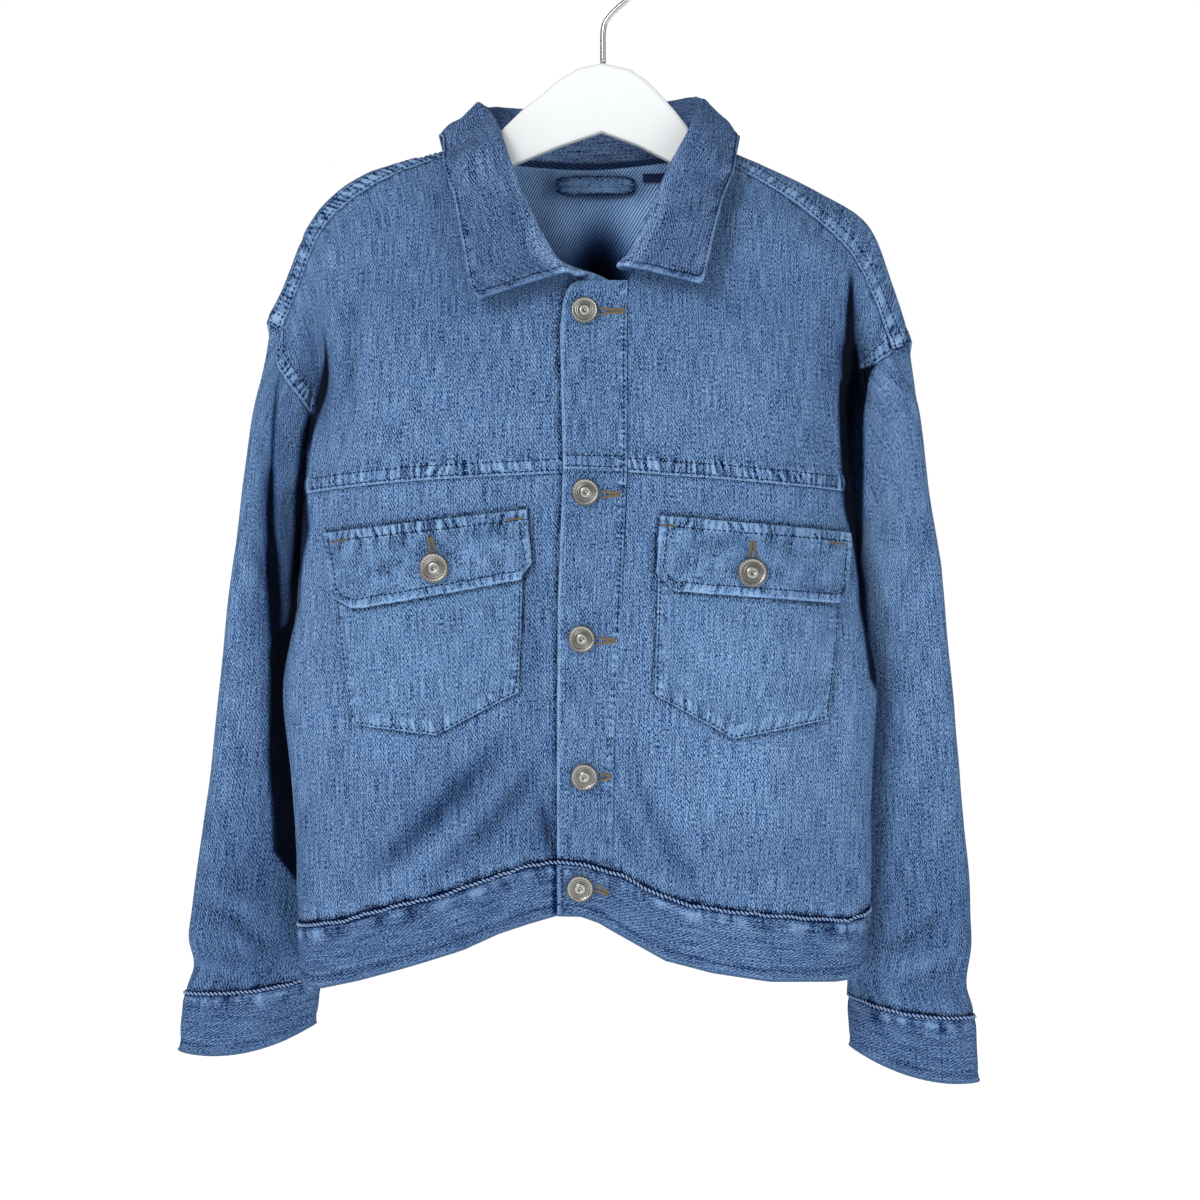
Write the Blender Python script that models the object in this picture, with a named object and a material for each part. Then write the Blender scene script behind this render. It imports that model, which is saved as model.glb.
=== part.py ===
"""Child's denim jacket on a flat hanger with a wire hook.

Every cloth piece is a closed wall. The panels are lofted through short tables of sections, one row
for each level, and neighbouring panels share their seam lines. Lengths in the tables are in
millimetres. X points to the wearer's left, -Y is the front and +Z is up. Section tables are measured
from the jacket's centre front; the origin is where the hook rests on its rail.
"""
from collections import namedtuple
from math import cos, pi, radians, sin

import bpy
import numpy as np
from mathutils import Vector
from mathutils.bvhtree import BVHTree

MM = 0.001

# Cloth
CLOTH = 1.2              # one layer of denim
BAND_CLOTH = 1.8         # waistband and cuffs
STRIP_CLOTH = 1.6        # placket, flaps, collar
SEAM_GAP = 0.3           # between two pieces along a seam
LAY_GAP = 0.7            # between a piece and what it lies on

# Closure
CENTRE_SHIFT = -10.0     # centre front, measured from the hook
UNDERLAP_SHORT = 7.0     # the covered front stops this far short of the placket's inner edge

# Buttons
BUTTON_HEIGHT = 3.4
FRONT_BUTTON = 15.6
POCKET_BUTTON = 17.0
SHANK = 5.0
BUTTON_SIDES = 14
SEAT_GAP = 0.35          # under the shank

# Hanger and hook
HANGER_THICK = 10.0
HANGER_EDGE = 2.2        # rounded edge of the hanger board
WIRE = 3.4
HOOK_RADIUS = 20.0       # to the wire's centre
HOOK_FOOT = -69.6        # lower end of the stem

Section = namedtuple("Section", "level neck mid edge hollow seam")
BackRow = namedtuple("BackRow", "level width right left hollow edge mid neck nape centre")
SleeveRow = namedtuple("SleeveRow", "level outer_z inner_z outer_x inner_x outer_y inner_y depth sag")
Lap = namedtuple("Lap", "z left right")
Roll = namedtuple("Roll", "station fold leaf")
Spot = namedtuple("Spot", "name x z")
Foot = namedtuple("Foot", "share x z")

# Wearer's right front. Each row runs from the front edge or neck out to the armhole or side seam.
RIGHT_FRONT = [
    Section("crest", (-66.0, 2, -117.4), (-127.0, 0, -133.2), (-157.5, 0, -158.6),
            (-172.3, 1, -191.5), (-184.9, 1, -220.4)),
    Section("shoulder seam", (-65.7, -8, -118.5), (-119.0, -9, -139.0), (-151.2, -9, -165.0),
            (-164.8, -7, -196.0), (-176.0, -4, -225.0)),
    Section("neck side", (-59.8, -13, -131), (-112, -25, -159), (-149.0, -20, -188),
            (-161.5, -9, -213), (-178.7, -6, -241.5)),
    Section("collar bone", (-50.0, -22, -150), (-110, -35, -183), (-151.0, -21, -216),
            (-157.0, -4, -231), (-172.5, -9, -254.5)),
    Section("chest top", (-33.0, -33, -181), (-106, -42, -210), (-151.3, -19, -244),
            (-154.5, 0, -252), (-164.6, -7, -264.8)),
    Section("neck point", (16.0, -43, -203.5), (-102, -47, -236), (-153.5, -17, -269),
            (-156.8, -6, -273), (-159.2, 1, -276)),
    Section("chest", (16.0, -50, -252), (-100, -52, -276), (-158.5, -15, -296),
            (-160.0, -6, -298), (-160.4, 2, -299)),
    Section("yoke seam", (16.0, -55, -307), (-98, -54, -313), (-161.2, -15, -319),
            (-162.2, -6, -320), (-162.4, 3, -321)),
    Section("underarm", (15.0, -57, -337), (-98, -55.5, -343), (-163.2, -15, -347),
            (-164.8, -3, -346), (-165.0, 9, -345)),
    Section("pocket", (14.0, -58, -374), (-100, -56, -381), (-164.0, -17, -384),
            (-167.2, -6, -384), (-167.5, 4, -384)),
    Section("waist", (11.0, -58, -420), (-104, -56, -430), (-171.0, -17, -433),
            (-174.6, -8, -433), (-174.9, 2, -433)),
    Section("hip", (9.0, -54, -476), (-101, -52, -489), (-165.5, -15, -497),
            (-168.8, -7, -497), (-169.1, 1, -497)),
    Section("waist seam", (8.0, -44, -530), (-92, -44, -550), (-163.0, -14, -566.5),
            (-166.5, -6, -566.5), (-166.8, 0, -566)),
    Section("hem", (8.0, -39, -565), (-92, -39, -587), (-161.0, -13, -603.5),
            (-165.0, -6, -600.5), (-165.6, 0, -599)),
]

# Wearer's left front, the one that laps over.
LEFT_FRONT = [
    Section("crest", (73.0, 2, -115.2), (134.0, 0, -143.4), (163.2, 0, -163.8),
            (177.8, 1, -197.5), (189.5, 1, -232.0)),
    Section("shoulder seam", (73.0, -8, -122.8), (122.0, -13, -152.6), (153.5, -14.5, -182.0),
            (165.2, -12, -204.0), (177.5, -6, -235.5)),
    Section("neck side", (64.0, -14, -138), (116, -28, -170), (151.5, -24, -203),
            (158.5, -9, -217), (176.0, -8, -238.5)),
    Section("collar bone", (50.0, -24, -155), (113, -36, -194), (152.5, -23, -226),
            (157.0, -4, -233), (170.6, -9, -241.5)),
    Section("chest top", (38.0, -34, -178), (109, -43, -218), (151.5, -20, -247),
            (155.0, 0, -250), (164.2, -7, -249.5)),
    Section("neck point", (24.3, -44.5, -202.5), (105, -48, -240), (147.5, -17, -266),
            (151.5, 1, -268), (162.5, -2, -262)),
    Section("chest", (23.8, -51.5, -252), (100, -53, -278), (148.5, -14, -292),
            (152.5, -1, -292), (159.0, -1, -289)),
    Section("yoke seam", (23.8, -56.5, -308), (97, -54.5, -313.5), (150.9, -14, -318),
            (154.0, -4, -319), (157.0, 0, -321)),
    Section("underarm", (22.8, -58.5, -339), (97, -56, -344), (154.5, -15, -347),
            (156.5, -1, -346), (157.3, 9, -345)),
    Section("pocket", (20.9, -59.5, -376), (98, -57, -381), (156.5, -17, -384),
            (159.2, -6, -384), (159.6, 4, -384)),
    Section("waist", (18.3, -59.5, -422), (102, -57, -430), (165.0, -17, -433),
            (168.3, -8, -433), (168.7, 2, -433)),
    Section("hip", (16.4, -55.5, -478), (100, -53, -489), (161.5, -15, -497),
            (165.0, -7, -497), (165.3, 1, -497)),
    Section("waist seam", (15.6, -45.5, -533), (92, -45, -557), (160.5, -14, -561),
            (164.6, -6, -558), (165.0, 0, -557.5)),
    Section("hem", (15.6, -41, -568), (92, -40, -596), (156.5, -13, -598.5),
            (161.5, -6, -594), (162.5, 0, -592)),
]

# The waist seam and the hem arch up to the centre front: x and z of points along each.
WAIST_ARCH = [(-166.8, -566.0), (-163.0, -566.5), (-137.0, -562.0), (-112.5, -554.0), (-87.5, -548.5),
              (-69.0, -542.3), (-50.3, -535.5), (-32.0, -530.0), (-16.0, -527.5), (-1.0, -528.9),
              (19.6, -534.8), (39.5, -545.1), (55.0, -551.1), (79.0, -555.0), (105.0, -558.4),
              (137.5, -561.8), (150.5, -562.5), (160.5, -561.0), (165.0, -557.5)]
HEM_ARCH = [(-165.6, -599.0), (-161.0, -603.5), (-151.5, -603.8), (-130.4, -598.5), (-99.7, -589.4),
            (-69.0, -579.7), (-50.3, -571.2), (-32.1, -564.9), (-16.2, -560.4), (-2.5, -560.7),
            (8.0, -564.5), (19.6, -571.2), (45.8, -586.0), (71.9, -592.8), (104.9, -597.9),
            (143.5, -599.8), (156.5, -598.5), (162.5, -592.0)]

# Segments between the named points of a front row, and between the rows of the table.
FRONT_COLUMNS = (4, 4, 2, 2)
YOKE_ROWS = (2, 2, 2, 2, 2, 2)
LOWER_ROWS = (2, 2, 2, 3, 3)
SHOULDER_ROW = 1
WAIST_SEAM_ROW = 12
HEM_ROW = 13

# Back, from the shoulder seam down: half width, the two armhole points (the side seam points are
# the fronts' own), then one half's points. Where they are missing they are the front's.
BACK = [
    BackRow("shoulder seam", 0, None, None, None, None, None, None, (60, 23, -122.5),
            (0, 38, -126.6)),
    BackRow("crest", 0, None, None, None, None, None, None, (62, 27, -129), (0, 43, -134.5)),
    BackRow("shoulder blade", 183, (-183, 12, -238), (187.5, 12, -248), (174, 13, -215),
            (155, 17, -181), (110, 20, -151), (76, 27, -142), (58, 38, -146), (0, 46, -153)),
    BackRow("upper back", 173, (-173, 20, -266), (174, 20, -270), (165, 23, -248),
            (149, 25, -222), (108, 35, -197), (77, 41, -186), (52, 46, -184), (0, 48, -187)),
    BackRow("mid back", 162, (-162, 21, -305), (160, 21, -305), (157.5, 26, -296),
            (146, 33, -283), (106, 43, -267), (77, 47, -260), (52, 50, -256), (0, 51, -255)),
    BackRow("underarm", 165, None, None, (161.5, 18, -345), (149, 31, -345),
            (106, 46, -345), (78, 51, -345), (52, 53, -345), (0, 54, -345)),
    BackRow("pocket", 167.5, None, None, (165, 12, -384), (153, 27, -384),
            (108, 45, -383), (79, 50, -382), (52, 53, -381), (0, 54, -380)),
    BackRow("waist", 174.9, None, None, (172, 10, -433), (159, 24, -433),
            (110, 43, -431), (80, 49, -429), (52, 52, -427), (0, 53, -425)),
    BackRow("hip", 169.1, None, None, (166.5, 8, -497), (154, 20, -496),
            (108, 38, -492), (80, 43, -487), (52, 46, -482), (0, 47, -478)),
    BackRow("waist seam", 166.8, None, None, (164.5, 6, -561.5), (152, 17, -559),
            (106, 31, -549), (80, 35, -541), (52, 38, -531), (0, 39, -522)),
    BackRow("hem", 165.6, None, None, (163.5, 6, -595.5), (151, 16, -593.5),
            (105, 29, -585), (80, 33, -577), (52, 36, -567), (0, 37, -557)),
]
NECK_COLUMNS = (2, 2)
BACK_TOP_ROWS = (1, 2, 2, 2, 3)

# Sleeves: outer and inner fold of each section, half its depth, and how far its middle sags.
RIGHT_SLEEVE = [
    SleeveRow("cap", -262, -354, -190.6, -167.2, -3, 12, 15, 0),
    SleeveRow("upper", -312, -370, -198.8, -167.6, -2, 17, 18, 0),
    SleeveRow("upper arm", -360, -390, -204.6, -169.2, 0, 22, 19, 0),
    SleeveRow("elbow", -425, -432, -212.0, -173.0, 3, 27, 18, 0),
    SleeveRow("forearm", -497, -497, -220.6, -167.0, 7, 28, 18, 0),
    SleeveRow("lower", -556, -552, -228.8, -161.0, 10, 30, 17.5, 1),
    SleeveRow("fold above cuff", -577, -571, -232.0, -158.5, 11, 30, 17, 2),
    SleeveRow("nip above cuff", -593, -587, -228.6, -157.0, 12, 30, 15.5, 3),
    SleeveRow("cuff seam", -608.0, -599.5, -233.4, -155.5, 12, 30, 16.5, 3),
    SleeveRow("cuff edge", -643.5, -630.0, -237.4, -159.5, 12, 29, 15.5, 7.5),
]
LEFT_SLEEVE = [
    SleeveRow("cap", -268, -354, 193.0, 160.2, -3, 12, 15, 0),
    SleeveRow("upper", -312, -370, 199.0, 160.8, -2, 17, 18, 0),
    SleeveRow("upper arm", -360, -390, 205.4, 162.6, 0, 22, 19, 0),
    SleeveRow("elbow", -425, -432, 212.4, 167.5, 3, 27, 18, 0),
    SleeveRow("forearm", -497, -497, 219.2, 162.5, 7, 28, 18, 0),
    SleeveRow("lower", -556, -556, 224.2, 156.5, 10, 30, 17.5, 1),
    SleeveRow("fold above cuff", -580, -576, 225.6, 154.5, 11, 30, 17, 2),
    SleeveRow("nip above cuff", -604, -597, 222.6, 153.5, 12, 30, 15.5, 3),
    SleeveRow("cuff seam", -622.0, -611.5, 226.6, 154.0, 12, 30, 16.5, 4),
    SleeveRow("cuff edge", -661.5, -643.0, 228.8, 155.2, 12, 29, 15.5, 6.5),
]
SLEEVE_ROWS = (2, 2, 2, 2, 3, 2, 1, 1, 1)
CUFF_ROWS = (2,)
ARMHOLE_STEP = 0.7       # the sleeve's first ring stands this far outside the armhole

# Placket edges at heights down the centre front.
PLACKET = [Lap(-199.5, -4.5, 24.0), Lap(-201.5, -8.0, 24.0), Lap(-206, -11.0, 24.0),
           Lap(-213, -12.9, 23.9), Lap(-228, -14.4, 23.5), Lap(-305, -12.6, 23.5),
           Lap(-381, -15.4, 20.6), Lap(-465, -16.0, 16.1), Lap(-526.5, -16.1, 15.3)]
PLACKET_ROWS = 20

# Collar: fold line and leaf edge at stations round the neck.
RIGHT_COLLAR = [
    Roll("front end", (-6.4, -53, -197.2), (-61.2, -58, -214.8)),
    Roll("throat", (-15.5, -47, -188.1), (-66.0, -56, -207.0)),
    Roll("lower break", (-24.2, -39, -174.2), (-69.5, -53, -192.0)),
    Roll("middle break", (-33.2, -30, -154.3), (-73.0, -46, -174.0)),
    Roll("upper break", (-42.3, -20, -132.5), (-76.5, -36, -155.0)),
    Roll("neck side", (-49.5, -10, -108.1), (-80.5, -22, -137.0)),
    Roll("shoulder", (-56.0, 9, -95.0), (-80.5, 1, -118.5)),
    Roll("behind shoulder", (-48.5, 29, -91.5), (-76.0, 28, -137.0)),
    Roll("nape", (-28.0, 39, -90.8), (-45.0, 50, -146.0)),
]
LEFT_COLLAR = [
    Roll("nape", (38.0, 38, -87.5), (52.0, 49, -145.0)),
    Roll("behind shoulder", (57.0, 26, -86.5), (80.5, 27, -136.0)),
    Roll("shoulder", (63.5, 8, -90.5), (84.5, 1, -118.0)),
    Roll("neck side", (60.5, -11, -106.4), (85.0, -22, -137.0)),
    Roll("upper break", (49.5, -20, -129.6), (80.0, -36, -155.0)),
    Roll("middle break", (39.7, -30, -151.4), (76.0, -46, -171.0)),
    Roll("lower break", (32.2, -39, -170.2), (72.5, -53, -186.0)),
    Roll("throat", (25.0, -47, -185.3), (69.5, -56, -198.0)),
    Roll("front end", (16.7, -53, -193.8), (66.6, -58, -206.7)),
]
COLLAR_ENDS = (-1.0, 1.0)
BACK_COLLAR = Roll("centre back", (5.0, 42, -88.6), (5.0, 54, -148.0))
COLLAR_STEPS = (3, 2, 2, 3)
ROLL_WIDTH = 5.6         # across the fold, stand to leaf
COLLAR_CLEAR = 1.0       # under the leaf
FOOT_LIFT = 2.4          # the stand's foot above the neck edge

# Pockets and flaps: corners on the front, x and z.
RIGHT_POCKET = {"top": ((-141.2, -354.0), (-34.5, -341.5)), "bottom":
                ((-140.8, -380.0), (-131.6, -451.0), (-84.1, -456.9), (-37.8, -432.7), (-35.2, -371.4))}
LEFT_POCKET = {"top": ((40.2, -345.0), (144.0, -354.0)), "bottom":
               ((40.6, -372.6), (39.2, -434.2), (83.8, -458.9), (136.6, -448.4), (143.9, -383.6))}
RIGHT_FLAP = {"top": ((-148.1, -342.3), (-33.0, -329.4)), "foot":
              [Foot(0, -140.2, -379.5), Foot(0.09, -130.0, -385.5), Foot(0.15, -123.2, -385.3),
               Foot(0.94, -36.5, -369.4), Foot(1, -29.8, -359.6)]}
LEFT_FLAP = {"top": ((42.0, -332.8), (150.0, -341.9)), "foot":
             [Foot(0, 39.6, -365.0), Foot(0.08, 49.5, -376.0), Foot(0.93, 140.3, -382.7),
              Foot(1, 146.0, -375.5)]}
FLAP_COLUMNS = 8
POCKET_GAP = 1.1         # under a pocket or flap, where the front curves away
FLAP_OVER = CLOTH + LAY_GAP
FLAP_LIFT = 1.2          # how far the flap's free edge stands off the pocket

# Button centres on the front.
FRONT_BUTTONS = [Spot("button_front_1", -0.4, -217.2), Spot("button_front_2", 0.2, -320.2),
                 Spot("button_front_3", -1.9, -402.7), Spot("button_front_4", -0.6, -480.1),
                 Spot("button_front_5", -3.1, -543.9)]
POCKET_BUTTONS = [Spot("button_pocket_right", -84.9, -362.9),
                  Spot("button_pocket_left", 93.7, -365.4)]

# Inside the back neck: left end, right end, top and bottom of each strip.
HANGER_LOOP = {"left": -17.5, "right": 28.5, "top": -130.5, "bottom": -141.5, "bow": 2.0}
NECK_LABEL = {"left": 33.5, "right": 47.5, "top": -129.5, "bottom": -134.5, "bow": 0.0}

# Hanger board, measured from the hook: upper edge from the left tip, lower edge back again.
HANGER_TOP = [(-149.0, -156.5), (-143.5, -150.5), (-124, -139.5), (-95, -129.8), (-76, -125.8),
              (-69, -121.5), (-64, -115.0), (-59.2, -109.0), (-47.0, -97.1), (-34.8, -87.5), (-26.1, -80.1),
              (-14.2, -72.7), (0.0, -69.9), (15.4, -73.4), (25.5, -80.1), (34.8, -89.6),
              (42.0, -97.7), (49.0, -106.5), (52.5, -114.0), (55.5, -123.5), (61, -128.2),
              (79.5, -132.0), (96.3, -138.0), (116.2, -146.6), (129, -156.0), (133.5, -162.0)]
HANGER_BOTTOM = [(127.0, -166.5), (100, -153.5), (70, -140.5), (38.9, -127.3), (20, -117.5),
                 (-0.6, -109.9), (-26, -118.5), (-52.8, -129.6), (-85, -142.5), (-115, -153.5),
                 (-142, -162.0)]

DENIM = (0.105, 0.215, 0.405, 1.0)
DENIM_DARK = (0.065, 0.14, 0.30, 1.0)
WHITE = (0.86, 0.86, 0.85, 1.0)
NICKEL = (0.50, 0.48, 0.44, 1.0)
CHROME = (0.80, 0.80, 0.80, 1.0)
NAVY = (0.012, 0.022, 0.075, 1.0)


def clear_scene():
    for thing in list(bpy.data.objects):
        bpy.data.objects.remove(thing, do_unlink=True)


def finish(name, colour, roughness, metallic=0.0):
    """A plain Principled finish."""
    made = bpy.data.materials.new(name)
    made.use_nodes = True
    shader = made.node_tree.nodes["Principled BSDF"]
    shader.inputs["Base Color"].default_value = colour
    shader.inputs["Roughness"].default_value = roughness
    shader.inputs["Metallic"].default_value = metallic
    return made


def unit(vectors):
    return vectors / np.maximum(np.linalg.norm(vectors, axis=-1, keepdims=True), 1e-9)


def even_slopes(keys):
    """Slopes at the keys of a curve that never overshoots them (harmonic mean of the steps)."""
    steps = keys[1:] - keys[:-1]
    slopes = np.empty_like(keys)
    slopes[0] = steps[0]
    slopes[-1] = steps[-1]
    before = steps[:-1]
    after = steps[1:]
    product = before * after
    total = before + after
    safe = np.where(np.abs(total) < 1e-9, 1.0, total)
    slopes[1:-1] = np.where(product > 0, 2 * product / safe, 0.0)
    return slopes


def through(keys, counts):
    """Points on a smooth curve through keys, with counts[i] segments between keys i and i + 1."""
    keys = np.asarray(keys, dtype=float)
    slopes = even_slopes(keys)
    spans = []
    for i, count in enumerate(counts):
        t = (np.arange(count) / count).reshape((-1,) + (1,) * (keys.ndim - 1))
        a = 2 * t ** 3 - 3 * t ** 2 + 1
        b = t ** 3 - 2 * t ** 2 + t
        c = 3 * t ** 2 - 2 * t ** 3
        d = t ** 3 - t ** 2
        spans.append(a * keys[i] + b * slopes[i] + c * keys[i + 1] + d * slopes[i + 1])
    spans.append(keys[-1:])
    return np.concatenate(spans)


def grid_normals(grid, ring=False):
    """Outward normals of a grid of points, rows first."""
    down = np.gradient(grid, axis=0)
    if ring:
        across = (np.roll(grid, -1, axis=1) - np.roll(grid, 1, axis=1)) / 2
    else:
        across = np.gradient(grid, axis=1)
    return unit(np.cross(down, across))


def pull_back(line, neighbour, amount):
    """A boundary line moved towards its neighbour line."""
    return line + unit(neighbour - line) * amount


def trimmed(grid, top=0.0, bottom=0.0, first=0.0, last=0.0):
    """A grid whose boundary lines are moved inwards along the cloth."""
    out = grid.copy()
    out[0] = pull_back(grid[0], grid[1], top)
    out[-1] = pull_back(grid[-1], grid[-2], bottom)
    out[:, 0] = pull_back(out[:, 0], out[:, 1], first)
    out[:, -1] = pull_back(out[:, -1], out[:, -2], last)
    return out


def add_mesh(name, points, faces, material, smooth=True):
    """A mesh object from points in millimetres."""
    mesh = bpy.data.meshes.new(name)
    mesh.from_pydata([Vector(p) * MM for p in points], [], faces)
    mesh.materials.append(material)
    mesh.validate()
    if smooth:
        mesh.shade_smooth()
        mesh.set_sharp_from_angle(angle=radians(40))
    made = bpy.data.objects.new(name, mesh)
    bpy.context.collection.objects.link(made)
    return made


def wall(name, outer, inner, material, ring=False):
    """A closed wall between two matching grids: both faces and the rims that join them."""
    rows, columns = outer.shape[:2]
    points = np.concatenate([outer.reshape(-1, 3), inner.reshape(-1, 3)])
    back = rows * columns
    faces = []
    spans = columns if ring else columns - 1
    for i in range(rows - 1):
        for j in range(spans):
            k = (j + 1) % columns
            a, b = i * columns + j, i * columns + k
            c, d = a + columns, b + columns
            faces.append((a, c, d, b))
            faces.append((back + a, back + b, back + d, back + c))
    for j in range(spans):
        k = (j + 1) % columns
        low = (rows - 1) * columns
        faces.append((j, k, back + k, back + j))
        faces.append((low + j, back + low + j, back + low + k, low + k))
    if not ring:
        for i in range(rows - 1):
            a, c = i * columns, (i + 1) * columns
            faces.append((a, back + a, back + c, c))
            b, d = a + columns - 1, c + columns - 1
            faces.append((b, d, back + d, back + b))
    return add_mesh(name, points, faces, material)


def shifted(points):
    """From centre-front measurements to the hook's frame."""
    return np.asarray(points, dtype=float) + (CENTRE_SHIFT, 0.0, 0.0)


def surface_tree(grid):
    """A search tree over one grid."""
    rows, columns = grid.shape[:2]
    faces = [(i * columns + j, (i + 1) * columns + j, (i + 1) * columns + j + 1, i * columns + j + 1)
             for i in range(rows - 1) for j in range(columns - 1)]
    return BVHTree.FromPolygons([Vector(p) for p in grid.reshape(-1, 3)], faces)


def depth_on(tree, x, z):
    """Y of the front surface at x, z, seen from the front."""
    for inset in (0.0, 1.0, 2.0, 4.0, 7.0, 10.0):
        hit = tree.ray_cast(Vector((x - inset * np.sign(x), -200.0, z)), Vector((0, 1, 0)))
        if hit[0] is not None:
            return hit[0].y
    raise ValueError("nothing lies behind x %.1f z %.1f" % (x, z))


def front_grid(sections):
    """The whole front half, rows from the shoulder seam to the waist seam."""
    rows = sections[SHOULDER_ROW:WAIST_SEAM_ROW + 1]
    lines = np.stack([through(row[1:], FRONT_COLUMNS) for row in rows])
    lines[-1] = arched(lines[-1], WAIST_ARCH)
    return through(lines, YOKE_ROWS + LOWER_ROWS)


def hem_line(sections):
    return arched(through(sections[HEM_ROW][1:], FRONT_COLUMNS), HEM_ARCH)


def arched(line, arch):
    """A line whose heights follow an arch table."""
    out = line.copy()
    out[:, 2] = np.interp(line[:, 0], [x for x, _ in arch], [z for _, z in arch])
    return out


def scaled_x(point, scale):
    return (point[0] * scale, point[1], point[2])


def back_half(sections, row, seam, sign):
    """Named points of a back row from its seam to the nape, for one side."""
    if row.hollow is None:
        source = sections[SHOULDER_ROW if row.level == "shoulder seam" else 0]
        keys = [source.seam, source.hollow, source.edge, source.mid, source.neck]
        return keys + [scaled_x(row.nape, sign)]
    if seam is None:
        seam = next(section.seam for section in sections if section.level == row.level)
    stretch = sign * abs(seam[0]) / row.width
    inner = (row.hollow, row.edge, row.mid, row.neck, row.nape)
    return [seam] + [scaled_x(point, stretch) for point in inner]


def back_line(row):
    """One back row from the right armhole or side seam across to the left one."""
    right = back_half(RIGHT_FRONT, row, row.right, -1)
    left = back_half(LEFT_FRONT, row, row.left, 1)
    keys = right + [row.centre] + left[::-1]
    side = tuple(reversed(FRONT_COLUMNS))
    neck = NECK_COLUMNS + tuple(reversed(NECK_COLUMNS))
    if row.hollow is not None:
        return through(keys, side + neck + FRONT_COLUMNS)
    # the neck edge meets the shoulder at a corner
    corner = len(FRONT_COLUMNS)
    return np.concatenate([through(keys[:corner + 1], side)[:-1],
                           through(keys[corner:-corner], neck),
                           through(keys[-corner - 1:], FRONT_COLUMNS)[1:]])


def back_grid():
    """The back from left to right as seen from behind, rows from the shoulder seam down."""
    lines = np.stack([back_line(row) for row in BACK[:-1]])
    return through(lines, BACK_TOP_ROWS + LOWER_ROWS[1:])


def meet(normals, others):
    """Shared wall directions along a seam, where the two cloths run on into each other."""
    together = np.sum(normals * others, axis=-1, keepdims=True) > 0.2
    middle = unit(normals + others)
    return np.where(together, middle, normals), np.where(together, middle, others)


def sleeve_ring(row, sign, front_count, back_count):
    """One sleeve section: an oval between its outer and inner folds, front half first."""
    angles = np.concatenate([np.linspace(0, pi, front_count + 1)[:-1],
                             np.linspace(pi, 2 * pi, back_count + 1)[:-1]])
    share = (1 + np.cos(angles)) / 2
    x = row.inner_x + (row.outer_x - row.inner_x) * share
    z = row.inner_z + (row.outer_z - row.inner_z) * share - row.sag * np.sin(angles) ** 2
    y = row.inner_y + (row.outer_y - row.inner_y) * share - row.depth * np.sin(angles)
    return np.stack([x, y, z], axis=-1)


def body_points():
    """Grids and wall directions of the two fronts and the back, with their seams shared."""
    right = front_grid(RIGHT_FRONT)
    left = front_grid(LEFT_FRONT)
    back = back_grid()
    side = right.shape[1]
    low = sum(LOWER_ROWS[1:]) + 1
    back[0, :side] = right[0, ::-1]
    back[0, -side:] = left[0]
    back[-low:, 0] = right[-low:, -1]
    back[-low:, -1] = left[-low:, -1]
    # rows run down; the left front's columns run to +X, as the back's do
    right_out = -grid_normals(right)
    left_out = grid_normals(left)
    back_out = -grid_normals(back)
    back_out[0, :side], right_out[0, ::-1] = meet(back_out[0, :side], right_out[0, ::-1])
    back_out[0, -side:], left_out[0] = meet(back_out[0, -side:], left_out[0])
    back_out[-low:, 0], right_out[-low:, -1] = meet(back_out[-low:, 0], right_out[-low:, -1])
    back_out[-low:, -1], left_out[-low:, -1] = meet(back_out[-low:, -1], left_out[-low:, -1])
    return {"right": right, "left": left, "back": back,
            "right_out": right_out, "left_out": left_out, "back_out": back_out}


def panel(name, grid, outward, material, thick=CLOTH, flip=False, **trims):
    """A wall from a grid on its outer face, trimmed at its seams."""
    cut = {edge: amount * SEAM_GAP / 2 for edge, amount in trims.items()}
    outer = shifted(trimmed(grid, **cut))
    inner = shifted(trimmed(grid - outward * thick, **cut))
    if flip:
        outer, inner = outer[:, ::-1], inner[:, ::-1]
    return wall(name, outer, inner, material)


def make_fronts(body, denim):
    """Yokes and lower fronts of both sides."""
    seam = sum(YOKE_ROWS)
    for side, flip in (("right", True), ("left", False)):
        grid, outward = body[side], body[side + "_out"]
        panel("yoke_" + side, grid[:seam + 1], outward[:seam + 1], denim, flip=flip,
              top=1, bottom=1, last=1)
        panel("front_" + side, grid[seam:], outward[seam:], denim, flip=flip,
              top=1, bottom=1, last=1)


def make_back(body, denim):
    panel("back_panel", body["back"], body["back_out"], denim, flip=True,
          top=1, bottom=1, first=1, last=1)


def armhole_ring(body, side):
    """The armhole from the shoulder down the front and up the back."""
    front = body[side][:, -1]
    back = body["back"][:, 0 if side == "right" else -1]
    down = sum(YOKE_ROWS) + LOWER_ROWS[0]
    up = sum(BACK_TOP_ROWS)
    loop = np.concatenate([front[:down], back[1:up + 1][::-1]])
    return loop, down, up


def armhole_normals(body, side):
    front = body[side + "_out"][:, -1]
    back = body["back_out"][:, 0 if side == "right" else -1]
    down = sum(YOKE_ROWS) + LOWER_ROWS[0]
    up = sum(BACK_TOP_ROWS)
    return np.concatenate([front[:down], back[1:up + 1][::-1]])


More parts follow.
